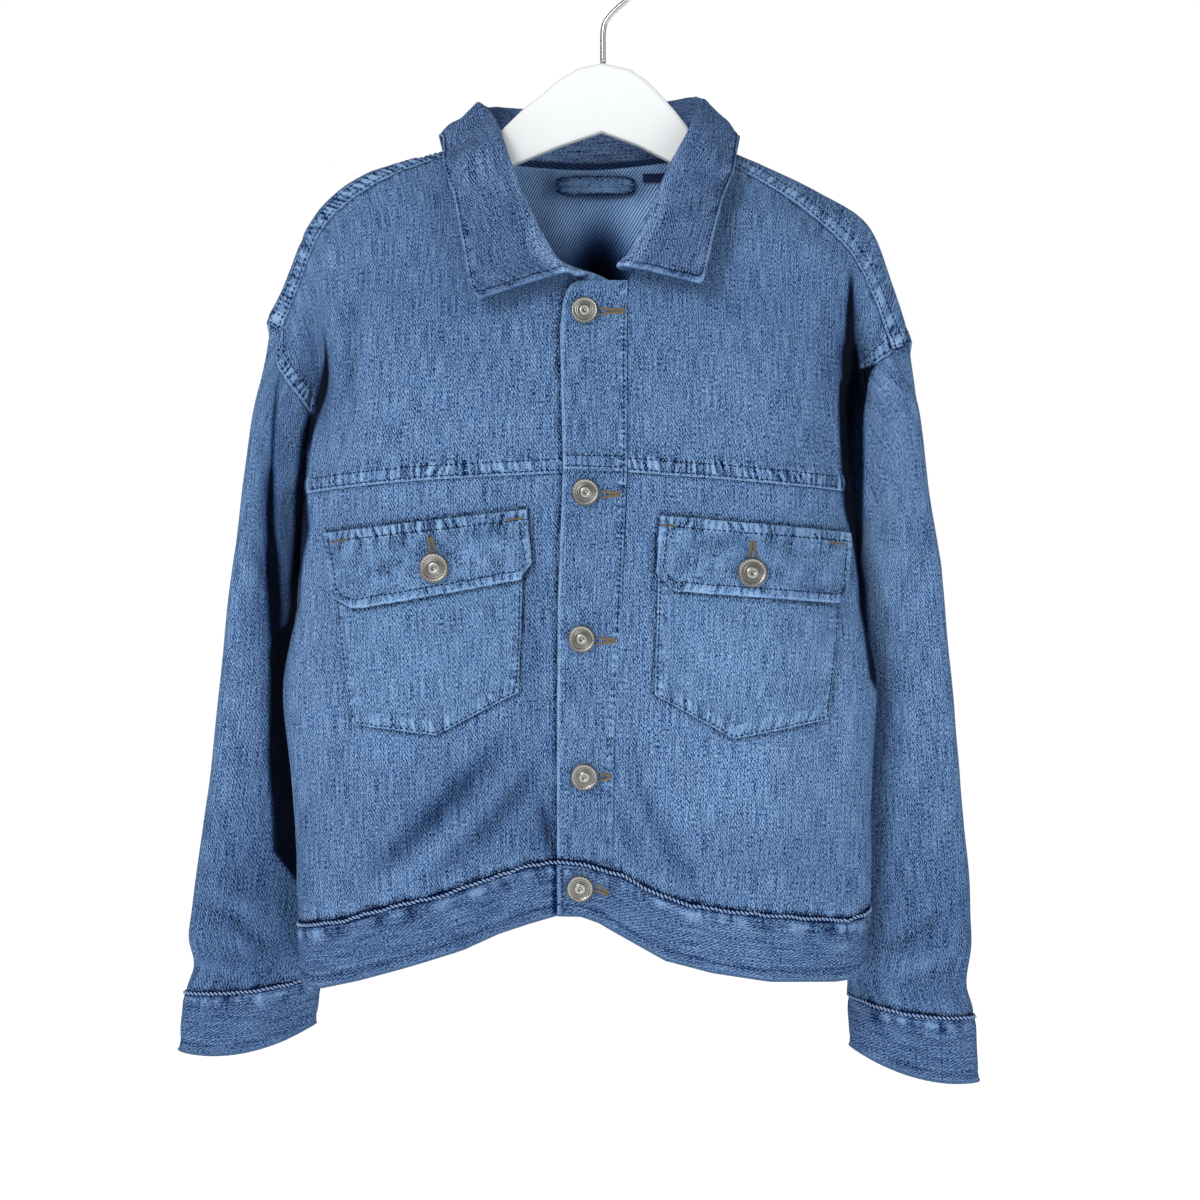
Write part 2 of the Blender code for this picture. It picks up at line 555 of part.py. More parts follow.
def make_sleeve(body, side, rows, denim):
    """A sleeve lofted from its armhole to the cuff seam, then the cuff."""
    sign = -1 if side == "right" else 1
    first, down, up = armhole_ring(body, side)
    first = first + (sign * ARMHOLE_STEP, 0.0, -ARMHOLE_STEP / 2)
    rings = [first] + [sleeve_ring(row, sign, down, up) for row in rows]
    grid = through(np.stack(rings), SLEEVE_ROWS + CUFF_ROWS)
    outward = grid_normals(grid, ring=True) * -sign
    # where the sleeve runs on from the body it takes the body's wall direction
    body_out = armhole_normals(body, side)
    runs_on = np.sum(outward[0] * body_out, axis=-1, keepdims=True) > 0.2
    outward[0] = np.where(runs_on, body_out, outward[0])
    seam = sum(SLEEVE_ROWS)
    turn = slice(None, None, -1) if sign > 0 else slice(None)
    for name, part, thick in (("sleeve_", slice(0, seam + 1), CLOTH),
                              ("cuff_", slice(seam, None), BAND_CLOTH)):
        points, facing = grid[part], outward[part]
        outer = points.copy()
        inner = points - facing * thick
        for line in (outer, inner):
            if name == "cuff_":
                line[0] = pull_back(line[0], line[1], SEAM_GAP / 2)
            else:
                line[-1] = pull_back(line[-1], line[-2], SEAM_GAP / 2)
        wall(name + side, shifted(outer)[:, turn], shifted(inner)[:, turn], denim, ring=True)


def lap_edges(z):
    """Left and right edge of the placket at a height."""
    heights = [-row.z for row in PLACKET]
    left = np.interp(-z, heights, [row.left for row in PLACKET])
    right = np.interp(-z, heights, [row.right for row in PLACKET])
    return left, right


def make_placket(body, trees, denim):
    """The strip that laps over: it lies on the covered front."""
    corner = [row.z for row in PLACKET[:4]]
    heights = np.concatenate([corner[:-1], np.linspace(corner[-1], PLACKET[-1].z, PLACKET_ROWS + 1)])
    grid = np.empty((len(heights), 5, 3))
    covered = body["right"]
    seam_z = covered[-1, ::-1, 2]
    for i, z in enumerate(heights):
        left, right = lap_edges(z)
        for j, x in enumerate(np.linspace(left, right - SEAM_GAP, grid.shape[1])):
            y = depth_on(trees["right"], min(x, right - UNDERLAP_SHORT - 2), z)
            grid[i, j] = (x, y - LAY_GAP - STRIP_CLOTH, z)
    for j in range(grid.shape[1]):
        grid[-1, j, 2] = np.interp(grid[-1, j, 0], covered[-1, ::-1, 0], seam_z) + SEAM_GAP
    inner = grid + (0.0, STRIP_CLOTH, 0.0)
    wall("placket", shifted(grid), shifted(inner), denim)
    return grid


def make_waistband(body, denim):
    """One band round the hem; its left end laps over its right end."""
    left_top, right_top = body["left"][-1], body["right"][-1]
    back_top = body["back"][-1]
    left_low, right_low = hem_line(LEFT_FRONT), hem_line(RIGHT_FRONT)
    back_low = back_line(BACK[-1])
    lap_x = np.linspace(PLACKET[-1].left, left_top[0, 0], 5)[:-1]
    lap_top = np.stack([np.array([x, np.interp(x, right_top[::-1, 0], right_top[::-1, 1]) -
                                  LAY_GAP - BAND_CLOTH,
                                  np.interp(x, right_top[::-1, 0], right_top[::-1, 2])])
                        for x in lap_x])
    lap_low = np.stack([np.array([x, np.interp(x, right_low[::-1, 0], right_low[::-1, 1]) -
                                  LAY_GAP - BAND_CLOTH,
                                  np.interp(x, right_low[::-1, 0], right_low[::-1, 2])])
                        for x in lap_x])
    top = np.concatenate([lap_top, left_top, back_top[::-1][1:-1], right_top[::-1]])
    low = np.concatenate([lap_low, left_low, back_low[::-1][1:-1], right_low[::-1]])
    middle = (top + low) / 2
    grid = np.stack([top, middle, low])
    outward = grid_normals(grid)
    # the band's upper rim keeps the panels' wall direction
    inner = grid - outward * BAND_CLOTH
    grid[0, :, 2] -= SEAM_GAP
    inner[0, :, 2] -= SEAM_GAP
    wall("waistband", shifted(grid), shifted(inner), denim)
    return grid


def seat_on(tree, point, clearance):
    """A point pushed out along the nearest face until it clears it."""
    spot = Vector(point)
    for _ in range(3):
        near, normal, _, distance = tree.find_nearest(spot)
        if near is None or distance > 30:
            break
        ahead = (spot - near).dot(normal)
        if ahead >= clearance:
            break
        spot = spot + normal * (clearance - ahead)
    return np.array(spot)


def make_collar(body, trees, denim):
    """Stand and leaf as one folded wall, its foot on the neck edge of the body."""
    corner = sum(YOKE_ROWS[:4])
    neck = np.concatenate([body["right"][corner:0:-1, 0],
                           body["back"][0, body["right"].shape[1] - 1:-body["left"].shape[1] + 1],
                           body["left"][0:corner + 1, 0]])
    neck = neck[(neck[:, 0] < COLLAR_ENDS[1]) | (neck[:, 2] > -195)]
    lengths = np.concatenate([[0], np.cumsum(np.linalg.norm(np.diff(neck, axis=0), axis=1))])
    rolls = RIGHT_COLLAR + [BACK_COLLAR] + LEFT_COLLAR
    counts = [2] * (len(rolls) - 1)
    folds = through([roll.fold for roll in rolls], counts)
    leaves = through([roll.leaf for roll in rolls], counts)
    # the foot of each station is the neck point at the same share of the collar's length
    run = np.concatenate([[0], np.cumsum(np.linalg.norm(np.diff(folds, axis=0), axis=1))])
    at = run / run[-1] * lengths[-1]
    feet = np.stack([np.interp(at, lengths, neck[:, k]) for k in range(3)], axis=-1)
    along = unit(np.gradient(folds, axis=0))
    fall = unit(leaves - folds)
    away = unit(np.cross(along, fall))
    feet = feet + unit(folds - feet) * FOOT_LIFT
    stand = unit(feet - folds)
    rise = ROLL_WIDTH / 2
    keys = np.stack([feet,
                     folds + stand * rise,
                     folds + away * ROLL_WIDTH / 2,
                     folds + away * ROLL_WIDTH + fall * rise,
                     leaves + away * ROLL_WIDTH])
    grid = through(keys, COLLAR_STEPS)
    facing = grid_normals(grid)
    facing *= np.sign(np.sum(facing[-1] * away))
    inner = grid - facing * STRIP_CLOTH
    first_leaf = sum(COLLAR_STEPS[:3])
    for i in range(first_leaf, grid.shape[0]):
        for j in range(grid.shape[1]):
            for tree in (trees["right"], trees["left"], trees["back"]):
                seated = seat_on(tree, inner[i, j], COLLAR_CLEAR)
                grid[i, j] += seated - inner[i, j]
                inner[i, j] = seated
    wall("collar", shifted(grid)[:, ::-1], shifted(inner)[:, ::-1], denim)


def seated_wall(name, grid, tree, lifts, thick, material):
    """A piece laid on a front: its points are moved out along the panel's faces."""
    inner = grid.copy()
    for i in range(grid.shape[0]):
        for j in range(grid.shape[1]):
            inner[i, j] = seat_on(tree, grid[i, j], lifts[i])
    outer = inner + grid_normals(inner) * thick
    wall(name, shifted(outer), shifted(inner), material)
    return outer


def patch(name, corners, tree, material, columns=10, rows=7):
    """A pocket: a four-sided patch with a pointed foot, laid on the front."""
    (top_a, top_b) = (np.array(c, dtype=float) for c in corners["top"])
    side_a, foot_a, tip, foot_b, side_b = (np.array(c, dtype=float) for c in corners["bottom"])
    across = np.linspace(0, 1, columns + 1)
    tip_at = (tip[0] - foot_a[0]) / (foot_b[0] - foot_a[0])
    grid = np.empty((rows + 1, columns + 1, 3))
    for j, u in enumerate(across):
        head = top_a + (top_b - top_a) * u
        waist = side_a + (side_b - side_a) * u
        if u < tip_at:
            foot = foot_a + (tip - foot_a) * (u / tip_at)
        else:
            foot = tip + (foot_b - tip) * ((u - tip_at) / (1 - tip_at))
        line = through([head, waist, foot], (2, rows - 2))
        for i, (x, z) in enumerate(line):
            grid[i, j] = (x, depth_on(tree, x, z), z)
    seated_wall(name, grid, tree, [POCKET_GAP] * (rows + 1), CLOTH, material)


def flap(name, shape, tree, material, rows=4):
    """A flap with clipped lower corners; its free edge lies over the pocket."""
    head_a, head_b = (np.array(point, dtype=float) for point in shape["top"])
    feet = np.array(shape["foot"])
    across = np.union1d(feet[:, 0], np.linspace(feet[-2, 0], feet[-3, 0], FLAP_COLUMNS))
    grid = np.empty((rows + 1, len(across), 3))
    for j, u in enumerate(across):
        head = head_a + (head_b - head_a) * u
        foot = np.array([np.interp(u, feet[:, 0], feet[:, 1]), np.interp(u, feet[:, 0], feet[:, 2])])
        for i, v in enumerate(np.linspace(0, 1, rows + 1)):
            x, z = head + (foot - head) * v
            grid[i, j] = (x, depth_on(tree, x, z), z)
    lifts = [POCKET_GAP + FLAP_OVER * min(1.0, v * 4) + FLAP_LIFT * v
             for v in np.linspace(0, 1, rows + 1)]
    return seated_wall(name, grid, tree, lifts, STRIP_CLOTH, material)


def make_button(spot, diameter, tree, material):
    """A turned button: dished rim, ring and centre on a short shank, facing the front."""
    r = diameter / 2
    h = BUTTON_HEIGHT
    profile = [(0.0, 0.0), (SHANK / 2, 0.0), (SHANK / 2, h - 2.2), (r * 0.86, h - 2.0),
               (r, h - 1.2), (r * 0.93, h - 0.2), (r * 0.80, h), (r * 0.66, h - 0.55),
               (r * 0.40, h - 0.45), (r * 0.33, h + 0.1), (r * 0.16, h + 0.05), (0.0, h - 0.35)]
    sides = BUTTON_SIDES
    points = []
    faces = []
    rings = []
    for radius, height in profile:
        if radius == 0.0:
            rings.append([len(points)])
            points.append((0.0, -height, 0.0))
            continue
        start = len(points)
        rings.append(list(range(start, start + sides)))
        for k in range(sides):
            a = 2 * pi * k / sides
            points.append((radius * cos(a), -height, radius * sin(a)))
    for low, high in zip(rings[:-1], rings[1:]):
        for k in range(sides):
            m = (k + 1) % sides
            if len(low) == 1:
                faces.append((low[0], high[m], high[k]))
            elif len(high) == 1:
                faces.append((low[k], low[m], high[0]))
            else:
                faces.append((low[k], low[m], high[m], high[k]))
    made = add_mesh(spot.name, points, faces, material)
    hit, normal, _, _ = tree.ray_cast(Vector((spot.x, -200.0, spot.z)), Vector((0, 1, 0)))
    place = hit + normal * SEAT_GAP + Vector((CENTRE_SHIFT, 0.0, 0.0))
    made.location = place * MM
    made.rotation_euler = Vector((0, -1, 0)).rotation_difference(normal).to_euler()
    return made


def make_inside_strip(name, size, body, thick, material, columns=8):
    """A strip on the inner face of the back neck; it may bow away in the middle."""
    inner_face = body["back"] - body["back_out"] * CLOTH
    tree = surface_tree(inner_face)
    grid = np.empty((3, columns + 1, 3))
    for j, u in enumerate(np.linspace(0, 1, columns + 1)):
        x = size["left"] + (size["right"] - size["left"]) * u
        bow = size["bow"] * sin(pi * u)
        for i, z in enumerate(np.linspace(size["top"], size["bottom"], 3)):
            hit = tree.ray_cast(Vector((x, 10.0, z)), Vector((0, 1, 0)))
            grid[i, j] = (x, hit[0].y - LAY_GAP - thick - bow, z)
    wall(name, shifted(grid), shifted(grid + (0, thick, 0)), material)


def make_hanger(material):
    """The flat board, its long edges rounded over."""
    outline = HANGER_TOP + HANGER_BOTTOM
    mesh = bpy.data.meshes.new("hanger")
    half = HANGER_THICK / 2
    count = len(outline)
    points = [(x * MM, -half * MM, z * MM) for x, z in outline]
    points += [(x * MM, half * MM, z * MM) for x, z in outline]
    faces = [tuple(range(count))[::-1], tuple(range(count, 2 * count))]
    faces += [(i, (i + 1) % count, count + (i + 1) % count, count + i) for i in range(count)]
    mesh.from_pydata(points, [], faces)
    mesh.materials.append(material)
    made = bpy.data.objects.new("hanger", mesh)
    bpy.context.collection.objects.link(made)
    edge = made.modifiers.new("rounded edge", "BEVEL")
    edge.width = HANGER_EDGE * MM
    edge.segments = 2
    edge.limit_method = "ANGLE"
    edge.angle_limit = radians(60)
    return made


def hook_route():
    """The wire from its foot up the stem, round to one side and over the top."""
    centre = np.array([0.0, WIRE / 2 - HOOK_RADIUS])
    turn = np.radians(np.arange(-42, 212, 12))
    arc = np.stack([HOOK_RADIUS * np.cos(turn), HOOK_RADIUS * np.sin(turn)], axis=-1) + centre
    stem = np.array([(0.0, HOOK_FOOT), (0.0, -62.0), (0.0, -54.0), (0.6, -48.0), (3.6, -42.6),
                     (8.8, -37.2)])
    return np.concatenate([stem, arc])


def make_hook(material):
    curve = bpy.data.curves.new("hook", "CURVE")
    curve.dimensions = "3D"
    curve.bevel_depth = WIRE / 2 * MM
    curve.bevel_resolution = 3
    curve.use_fill_caps = True
    line = curve.splines.new("POLY")
    route = hook_route()
    line.points.add(len(route) - 1)
    for point, (x, z) in zip(line.points, route):
        point.co = (x * MM, 0.0, z * MM, 1.0)
    curve.materials.append(material)
    made = bpy.data.objects.new("hook", curve)
    bpy.context.collection.objects.link(made)
    return made


def main():
    clear_scene()
    denim = finish("denim", DENIM, 0.9)
    band = finish("denim bands", DENIM_DARK, 0.9)
    nickel = finish("nickel", NICKEL, 0.45, 1.0)
    body = body_points()
    make_fronts(body, denim)
    make_back(body, denim)
    trees = {"right": surface_tree(body["right"][:, ::-1]), "left": surface_tree(body["left"]),
             "back": surface_tree(body["back"][:, ::-1])}
    make_sleeve(body, "right", RIGHT_SLEEVE, denim)
    make_sleeve(body, "left", LEFT_SLEEVE, denim)
    lap = make_placket(body, trees, denim)
    band_grid = make_waistband(body, band)
    make_collar(body, trees, denim)
    patch("pocket_right", RIGHT_POCKET, trees["right"], denim)
    patch("pocket_left", LEFT_POCKET, trees["left"], denim)
    flaps = {"button_pocket_right": flap("flap_right", RIGHT_FLAP, trees["right"], denim),
             "button_pocket_left": flap("flap_left", LEFT_FLAP, trees["left"], denim)}
    lap_tree = surface_tree(lap)
    band_tree = surface_tree(band_grid)
    for spot in FRONT_BUTTONS:
        tree = lap_tree if spot.z > PLACKET[-1].z else band_tree
        make_button(spot, FRONT_BUTTON, tree, nickel)
    for spot in POCKET_BUTTONS:
        make_button(spot, POCKET_BUTTON, surface_tree(flaps[spot.name]), nickel)
    make_inside_strip("hanger_loop", HANGER_LOOP, body, CLOTH, denim)
    make_inside_strip("neck_label", NECK_LABEL, body, 1.0, finish("bare label", NAVY, 0.7))
    make_hanger(finish("white board", WHITE, 0.35))
    make_hook(finish("chrome", CHROME, 0.15, 1.0))


main()
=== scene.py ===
from math import pi, radians

import bpy
import numpy as np
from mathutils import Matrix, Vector
from mathutils.bvhtree import BVHTree


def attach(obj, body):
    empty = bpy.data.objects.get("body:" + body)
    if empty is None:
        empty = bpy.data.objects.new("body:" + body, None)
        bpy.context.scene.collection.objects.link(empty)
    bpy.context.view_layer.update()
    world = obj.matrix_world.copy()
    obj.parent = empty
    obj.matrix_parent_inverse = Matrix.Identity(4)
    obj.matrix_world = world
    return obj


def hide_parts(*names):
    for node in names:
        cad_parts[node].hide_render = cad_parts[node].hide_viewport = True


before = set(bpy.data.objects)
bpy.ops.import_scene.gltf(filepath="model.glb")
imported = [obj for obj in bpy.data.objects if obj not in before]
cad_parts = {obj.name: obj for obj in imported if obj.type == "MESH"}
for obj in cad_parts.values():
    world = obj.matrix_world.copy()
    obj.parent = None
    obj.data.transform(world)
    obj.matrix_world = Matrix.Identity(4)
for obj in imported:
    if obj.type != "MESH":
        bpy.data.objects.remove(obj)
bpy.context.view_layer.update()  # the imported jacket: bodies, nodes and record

mm = 0.001

# A child's denim jacket on a flat hanger. Tables are in millimetres, measured from the centre front;
# the hook's own frame lies centreShift to the side. -Y is the front, +Z is up, +X the wearer's left.
centreShift = -10.0
farOff = 1e6  # farther than any cloth reaches
lattice = {"line": 1024, "sheet": 128}  # random heights before a row or sheet of noise repeats
bend = {"pieces": 12, "start": 0.04, "taper": 0.7}  # a bent line's straight pieces; how its ends die out


def unit(vectors):
    # v / |v|
    return vectors / np.maximum(np.linalg.norm(vectors, axis=-1, keepdims=True), 1e-9)


def evenSlopes(keys):
    # harmonic mean of the steps before and after each key, so the curve never overshoots
    steps = keys[1:] - keys[:-1]
    slopes = np.empty_like(keys)
    slopes[0], slopes[-1] = steps[0], steps[-1]
    before, after = steps[:-1], steps[1:]
    total = before + after
    safe = np.where(np.abs(total) < 1e-9, 1.0, total)
    slopes[1:-1] = np.where(before * after > 0, 2 * before * after / safe, 0.0)
    return slopes


def through(keys, counts):
    # Hermite curve through the keys, counts[i] segments between keys i and i + 1
    keys = np.asarray(keys, dtype=float)
    slopes = evenSlopes(keys)
    spans = []
    for i, count in enumerate(counts):
        t = (np.arange(count) / count).reshape((-1,) + (1,) * (keys.ndim - 1))
        spans.append((2 * t ** 3 - 3 * t ** 2 + 1) * keys[i] + (t ** 3 - 2 * t ** 2 + t) * slopes[i]
                     + (3 * t ** 2 - 2 * t ** 3) * keys[i + 1] + (t ** 3 - t ** 2) * slopes[i + 1])
    spans.append(keys[-1:])
    return np.concatenate(spans)


def gridNormals(grid, ring=False):
    # step down the rows crossed with step along the columns
    down = np.gradient(grid, axis=0)
    if ring:
        across = (np.roll(grid, -1, axis=1) - np.roll(grid, 1, axis=1)) / 2
    else:
        across = np.gradient(grid, axis=1)
    return unit(np.cross(down, across))


def runDown(grid):
    # length walked down each column from the first row
    steps = np.linalg.norm(np.diff(grid, axis=0), axis=-1)
    return np.vstack([np.zeros((1, grid.shape[1])), np.cumsum(steps, axis=0)])


def runAcross(grid):
    # length walked along each row from the first column
    return runDown(grid.transpose(1, 0, 2)).T


def edges(grid):
    # distances on the cloth to its four edges, to the nearer side, and to the nearest of sides and foot
    down, across = runDown(grid), runAcross(grid)
    last, bottom = across[:, -1:] - across, down[-1] - down
    sides = np.minimum(across, last)
    return {"top": down, "bottom": bottom, "first": across, "last": last, "down": down, "across": across,
            "sides": sides, "rim": np.minimum(sides, bottom)}


def runAlong(line):
    # length walked along a line from its start
    return np.concatenate([[0], np.cumsum(np.linalg.norm(np.diff(line, axis=0), axis=1))])


def readAt(at, run, line):
    # the line's places at given lengths along it
    return np.stack([np.interp(at, run, line[:, k]) for k in range(3)], -1)


def smooth(t):
    # 3t^2 - 2t^3 held between 0 and 1
    t = np.clip(t, 0.0, 1.0)
    return t * t * (3 - 2 * t)


def hill(distance, width):
    # exp(-(d / w)^2)
    return np.exp(-(distance / width) ** 2)


def highs(field):
    # what stands above zero, up to one
    return np.clip(field, 0, 1)


def noise1(s, seed):
    # random heights from -1 to 1 at whole numbers, blended by 3t^2 - 2t^3
    count = lattice["line"]
    heights = np.random.default_rng(seed).uniform(-1, 1, count)
    k = np.floor(s).astype(int)
    t = smooth(s - k)
    return heights[k % count] * (1 - t) + heights[(k + 1) % count] * t


def noise2(a, b, seed):
    # the same on a lattice of two directions
    count = lattice["sheet"]
    heights = np.random.default_rng(seed).uniform(-1, 1, (count, count))
    i, j = np.floor(a).astype(int), np.floor(b).astype(int)
    t, u = smooth(a - i), smooth(b - j)
    i, j = i % count, j % count
    m, n = (i + 1) % count, (j + 1) % count
    return ((heights[i, j] * (1 - t) + heights[m, j] * t) * (1 - u)
            + (heights[i, n] * (1 - t) + heights[m, n] * t) * u)


def soften(field, times):
    # repeated blend of each point with its four neighbours
    for _ in range(times):
        wide = np.pad(field, 1, mode="edge")
        field = (wide[:-2, 1:-1] + wide[2:, 1:-1] + wide[1:-1, :-2] + wide[1:-1, 2:] + 4 * field) / 8
    return field


def toSegment(x, z, x0, z0, x1, z1):
    # distance to the straight line between two points, and the share of it passed there
    ex, ez = x1 - x0, z1 - z0
    share = np.clip(((x - x0) * ex + (z - z0) * ez) / (ex * ex + ez * ez), 0, 1)
    return np.hypot(x - x0 - share * ex, z - z0 - share * ez), share


def creases(x, z, lines):
    # each line is a bent trough or ridge: x, z of three points on it, width and height;
    # hill across it, a power of the sine along it
    lift = np.zeros_like(x)
    pieces = bend["pieces"]
    t = np.linspace(0, 1, pieces + 1)
    for x0, z0, x1, z1, x2, z2, width, height in lines:
        px, pz = ((1 - t) ** 2 * a + 2 * t * (1 - t) * (2 * b - (a + c) / 2) + t ** 2 * c
                  for a, b, c in ((x0, x1, x2), (z0, z1, z2)))
        best, along = np.full_like(x, farOff), np.zeros_like(x)
        for k in range(pieces):
            gap, share = toSegment(x, z, px[k], pz[k], px[k + 1], pz[k + 1])
            nearer = gap < best
            best = np.where(nearer, gap, best)
            along = np.where(nearer, (k + share) / pieces, along)
        reach = bend["start"] + (1 - 2 * bend["start"]) * along
        lift += height * hill(best, width) * np.sin(pi * reach) ** bend["taper"]
    return lift


def outlineGap(x, z, corners):
    # distance to a closed outline of corners, measured on the flat front
    ends = zip(corners, corners[1:] + corners[:1])
    return np.minimum.reduce([toSegment(x, z, *start, *end)[0] for start, end in ends])


def beyond(x, z, line, soft):
    # 0 on one side of a line given as z, x pairs, growing to 1 over soft millimetres past it
    return smooth((x - np.interp(-z, [-level for level, _ in line], [at for _, at in line])) / soft)


def patches(x, z, spots):
    # soft ovals that lighten or darken the colour, fades and painted shade alike: centre, half width, half
    # height and amount
    return sum(amount * np.exp(-((x - cx) / rx) ** 2 - ((z - cz) / rz) ** 2)
               for cx, cz, rx, rz, amount in spots)


def shifted(points):
    # from the centre front to the hook's frame
    return np.asarray(points, dtype=float) + (centreShift, 0.0, 0.0)


def wallFaces(rows, columns, ring):
    # quads of the outer face, the inner face turned round, and the rims that join them
    i = np.arange(rows - 1)[:, None]
    j = np.arange(columns if ring else columns - 1)[None, :]
    a, b = i * columns + j, i * columns + (j + 1) % columns
    c, d = a + columns, b + columns
    back = rows * columns
    sheets = [np.stack([a, c, d, b], -1).reshape(-1, 4),
              np.stack([a, b, d, c], -1).reshape(-1, 4) + back]
    j, k = j.ravel(), (j.ravel() + 1) % columns
    low = (rows - 1) * columns
    sheets.append(np.stack([j, k, back + k, back + j], -1))
    sheets.append(np.stack([low + j, back + low + j, back + low + k, low + k], -1))
    if not ring:
        i = i.ravel() * columns
        far = i + columns - 1
        sheets.append(np.stack([i, back + i, back + i + columns, i + columns], -1))
        sheets.append(np.stack([far, far + columns, back + far + columns, back + far], -1))
    return np.concatenate(sheets)


def closedRings(rings, first, last):
    # rows of rings joined by quads, a pole closing each end
    rows, sides = rings.shape[:2]
    points = np.concatenate([[first], rings.reshape(-1, 3), [last]])
    j = np.arange(sides)
    k = (j + 1) % sides
    i = np.arange(rows - 1)[:, None] * sides + 1
    quads = np.stack([i + j, i + sides + j, i + sides + k, i + k], -1).reshape(-1, 4)
    low, end = (rows - 1) * sides + 1, len(points) - 1
    caps = [np.stack([0 * j, j + 1, k + 1, k + 1], -1), np.stack([0 * j + end, low + k, low + j, low + j], -1)]
    return points, np.concatenate([quads] + caps)


def newMesh(name, points, quads, material, uv=None, values=None):
    # points in millimetres from the hook; uv per face corner; values are point attributes
    mesh = bpy.data.meshes.new(name)
    mesh.vertices.add(len(points))
    mesh.vertices.foreach_set("co", (points * mm).astype(np.float32).ravel())
    kept = np.ones(quads.shape, dtype=bool)
    kept[:, -1] = quads[:, -1] != quads[:, -2]  # a face whose last corner repeats is a triangle
    start = np.concatenate([[0], np.cumsum(kept.sum(axis=1))[:-1]])
    mesh.loops.add(int(kept.sum()))
    mesh.loops.foreach_set("vertex_index", quads[kept].astype(np.int32))
    mesh.polygons.add(len(quads))
    mesh.polygons.foreach_set("loop_start", start.astype(np.int32))
    mesh.update(calc_edges=True)
    if uv is not None:
        mesh.uv_layers.new(name="cloth").data.foreach_set("uv", (uv * mm).astype(np.float32).ravel())
    for key, field in (values or {}).items():
        layer = mesh.attributes.new(key, "FLOAT", "POINT")
        layer.data.foreach_set("value", field.astype(np.float32).ravel())
    mesh.shade_smooth()
    mesh.materials.append(material)
    piece = bpy.data.objects.new(name, mesh)
    bpy.context.collection.objects.link(piece)
    return piece


wall = {
    "crestFade": 1.0,  # how strongly a crest a millimetre high fades, and a trough stays dark
    "form": 14,  # rounds of softening that leave only the form under the creases
    "liningMap": 7.3,  # how far along the lining's weave starts
}


def cloth(name, grid, out, thick, material, lift=0.0, worn=0.0, shade=0.0, tone=0.0, inside=None,
          ring=0, flip=False, warp="down", start=0.0, foot=False):
    # a closed wall: outer = grid + out * lift, inner = outer - out * thick; crests fade, troughs stay dark;
    # ring is the column where a tube's cloth map starts again
    rows, columns = shape = grid.shape[:2]
    lift = np.broadcast_to(np.asarray(lift, dtype=float), shape)
    outer = grid + out * lift[..., None]
    inner = outer - out * thick
    relief = (lift - soften(lift, wall["form"])) * wall["crestFade"]
    worn = np.broadcast_to(worn, shape) + highs(relief)
    shade = np.broadcast_to(shade, shape) + highs(-relief)
    quads = wallFaces(rows, columns, ring)
    # the cloth map: u to the viewer's right, v down the cloth; a band's warp runs along it
    turn = -1 if flip else 1
    across = runAcross(grid) + start
    if ring:
        girth = across[:, -1:] + np.linalg.norm(grid[:, -1:] - grid[:, :1], axis=-1)
        across = across - girth * (np.arange(columns) > ring)
    down = runDown(grid)
    down = down - down[-1:] if foot else down
    pair = np.stack([across * turn, down] if warp == "down" else [-down, across * turn], -1).reshape(-1, 2)
    uv = np.concatenate([pair, pair + (wall["liningMap"], 0.0)])[quads.ravel()].reshape(-1, 4, 2)
    if ring:
        # the strip past that column belongs to the second half
        row, column = np.divmod(quads % (rows * columns), columns)
        crossing = (column.max(axis=1, keepdims=True) == ring + 1) & (column == ring)
        uv[..., 0 if warp == "down" else 1] -= girth[row, 0] * turn * crossing
    if flip:
        quads, uv = quads[:, ::-1], uv[:, ::-1]
    flat = np.zeros(rows * columns)
    tones = [np.broadcast_to(face, shape).ravel() for face in (tone, tone if inside is None else inside)]
    values = {"worn": [worn.ravel(), flat], "shade": [shade.ravel(), flat], "lining": [flat, flat + 1],
              "tone": tones}
    piece = newMesh(name, shifted(np.concatenate([outer.reshape(-1, 3), inner.reshape(-1, 3)])), quads,
                    material, uv.reshape(-1, 2), {key: np.concatenate(pair) for key, pair in values.items()})
    return {"piece": piece, "outer": outer, "out": out, "edges": edges(grid)}


thread = {
    "pitch": 3.0, "length": 2.3, "radius": 0.42, "lift": 0.08, "sides": 5,
    # each ring's place along it, size and sinking
    "rings": ((-0.5, 0.45, -0.24), (-0.22, 1.0, 0.0), (0.22, 1.0, 0.0), (0.5, 0.45, -0.24)),
}
laid = {"pitch": 2.5, "length": 3.0, "radius": 0.58, "lean": 0.65, "lift": 0.35}  # a cord's strands
dense = {"pitch": 0.62, "lift": 0.22, "step": 0.5,  # tacks and buttonholes, on a map with this step
         "bar": (1.5, 0.34), "hole": (1.8, 0.46)}  # thread's length and radius


def rowOn(made, edge, distance, keep=None, clear=()):
    # the line that keeps one distance from an edge, with its outward directions; clear trims it near others
    turn = (lambda field: field.swapaxes(0, 1)) if edge in ("first", "last") else (lambda field: field)
    field = turn(made["edges"][edge])
    steps = np.arange(len(field))
    order = 1 if edge in ("top", "first") else -1
    distance = np.broadcast_to(distance, field.shape[1])
    at = np.array([np.interp(distance[j], field[::order, j], steps[::order]) for j in range(field.shape[1])])
    low = np.minimum(at.astype(int), len(field) - 2)
    j = np.arange(field.shape[1])

    def read(values):
        values = turn(values)
        share = (at - low).reshape((-1,) + (1,) * (values.ndim - 2))
        return values[low, j] * (1 - share) + values[low + 1, j] * share

    line, facing = read(made["outer"]), unit(read(made["out"]))
    chosen = keep(line) if keep else np.ones(len(line), dtype=bool)
    for other, least in clear:
        chosen &= read(made["edges"][other]) >= least
    return line[chosen], facing[chosen]


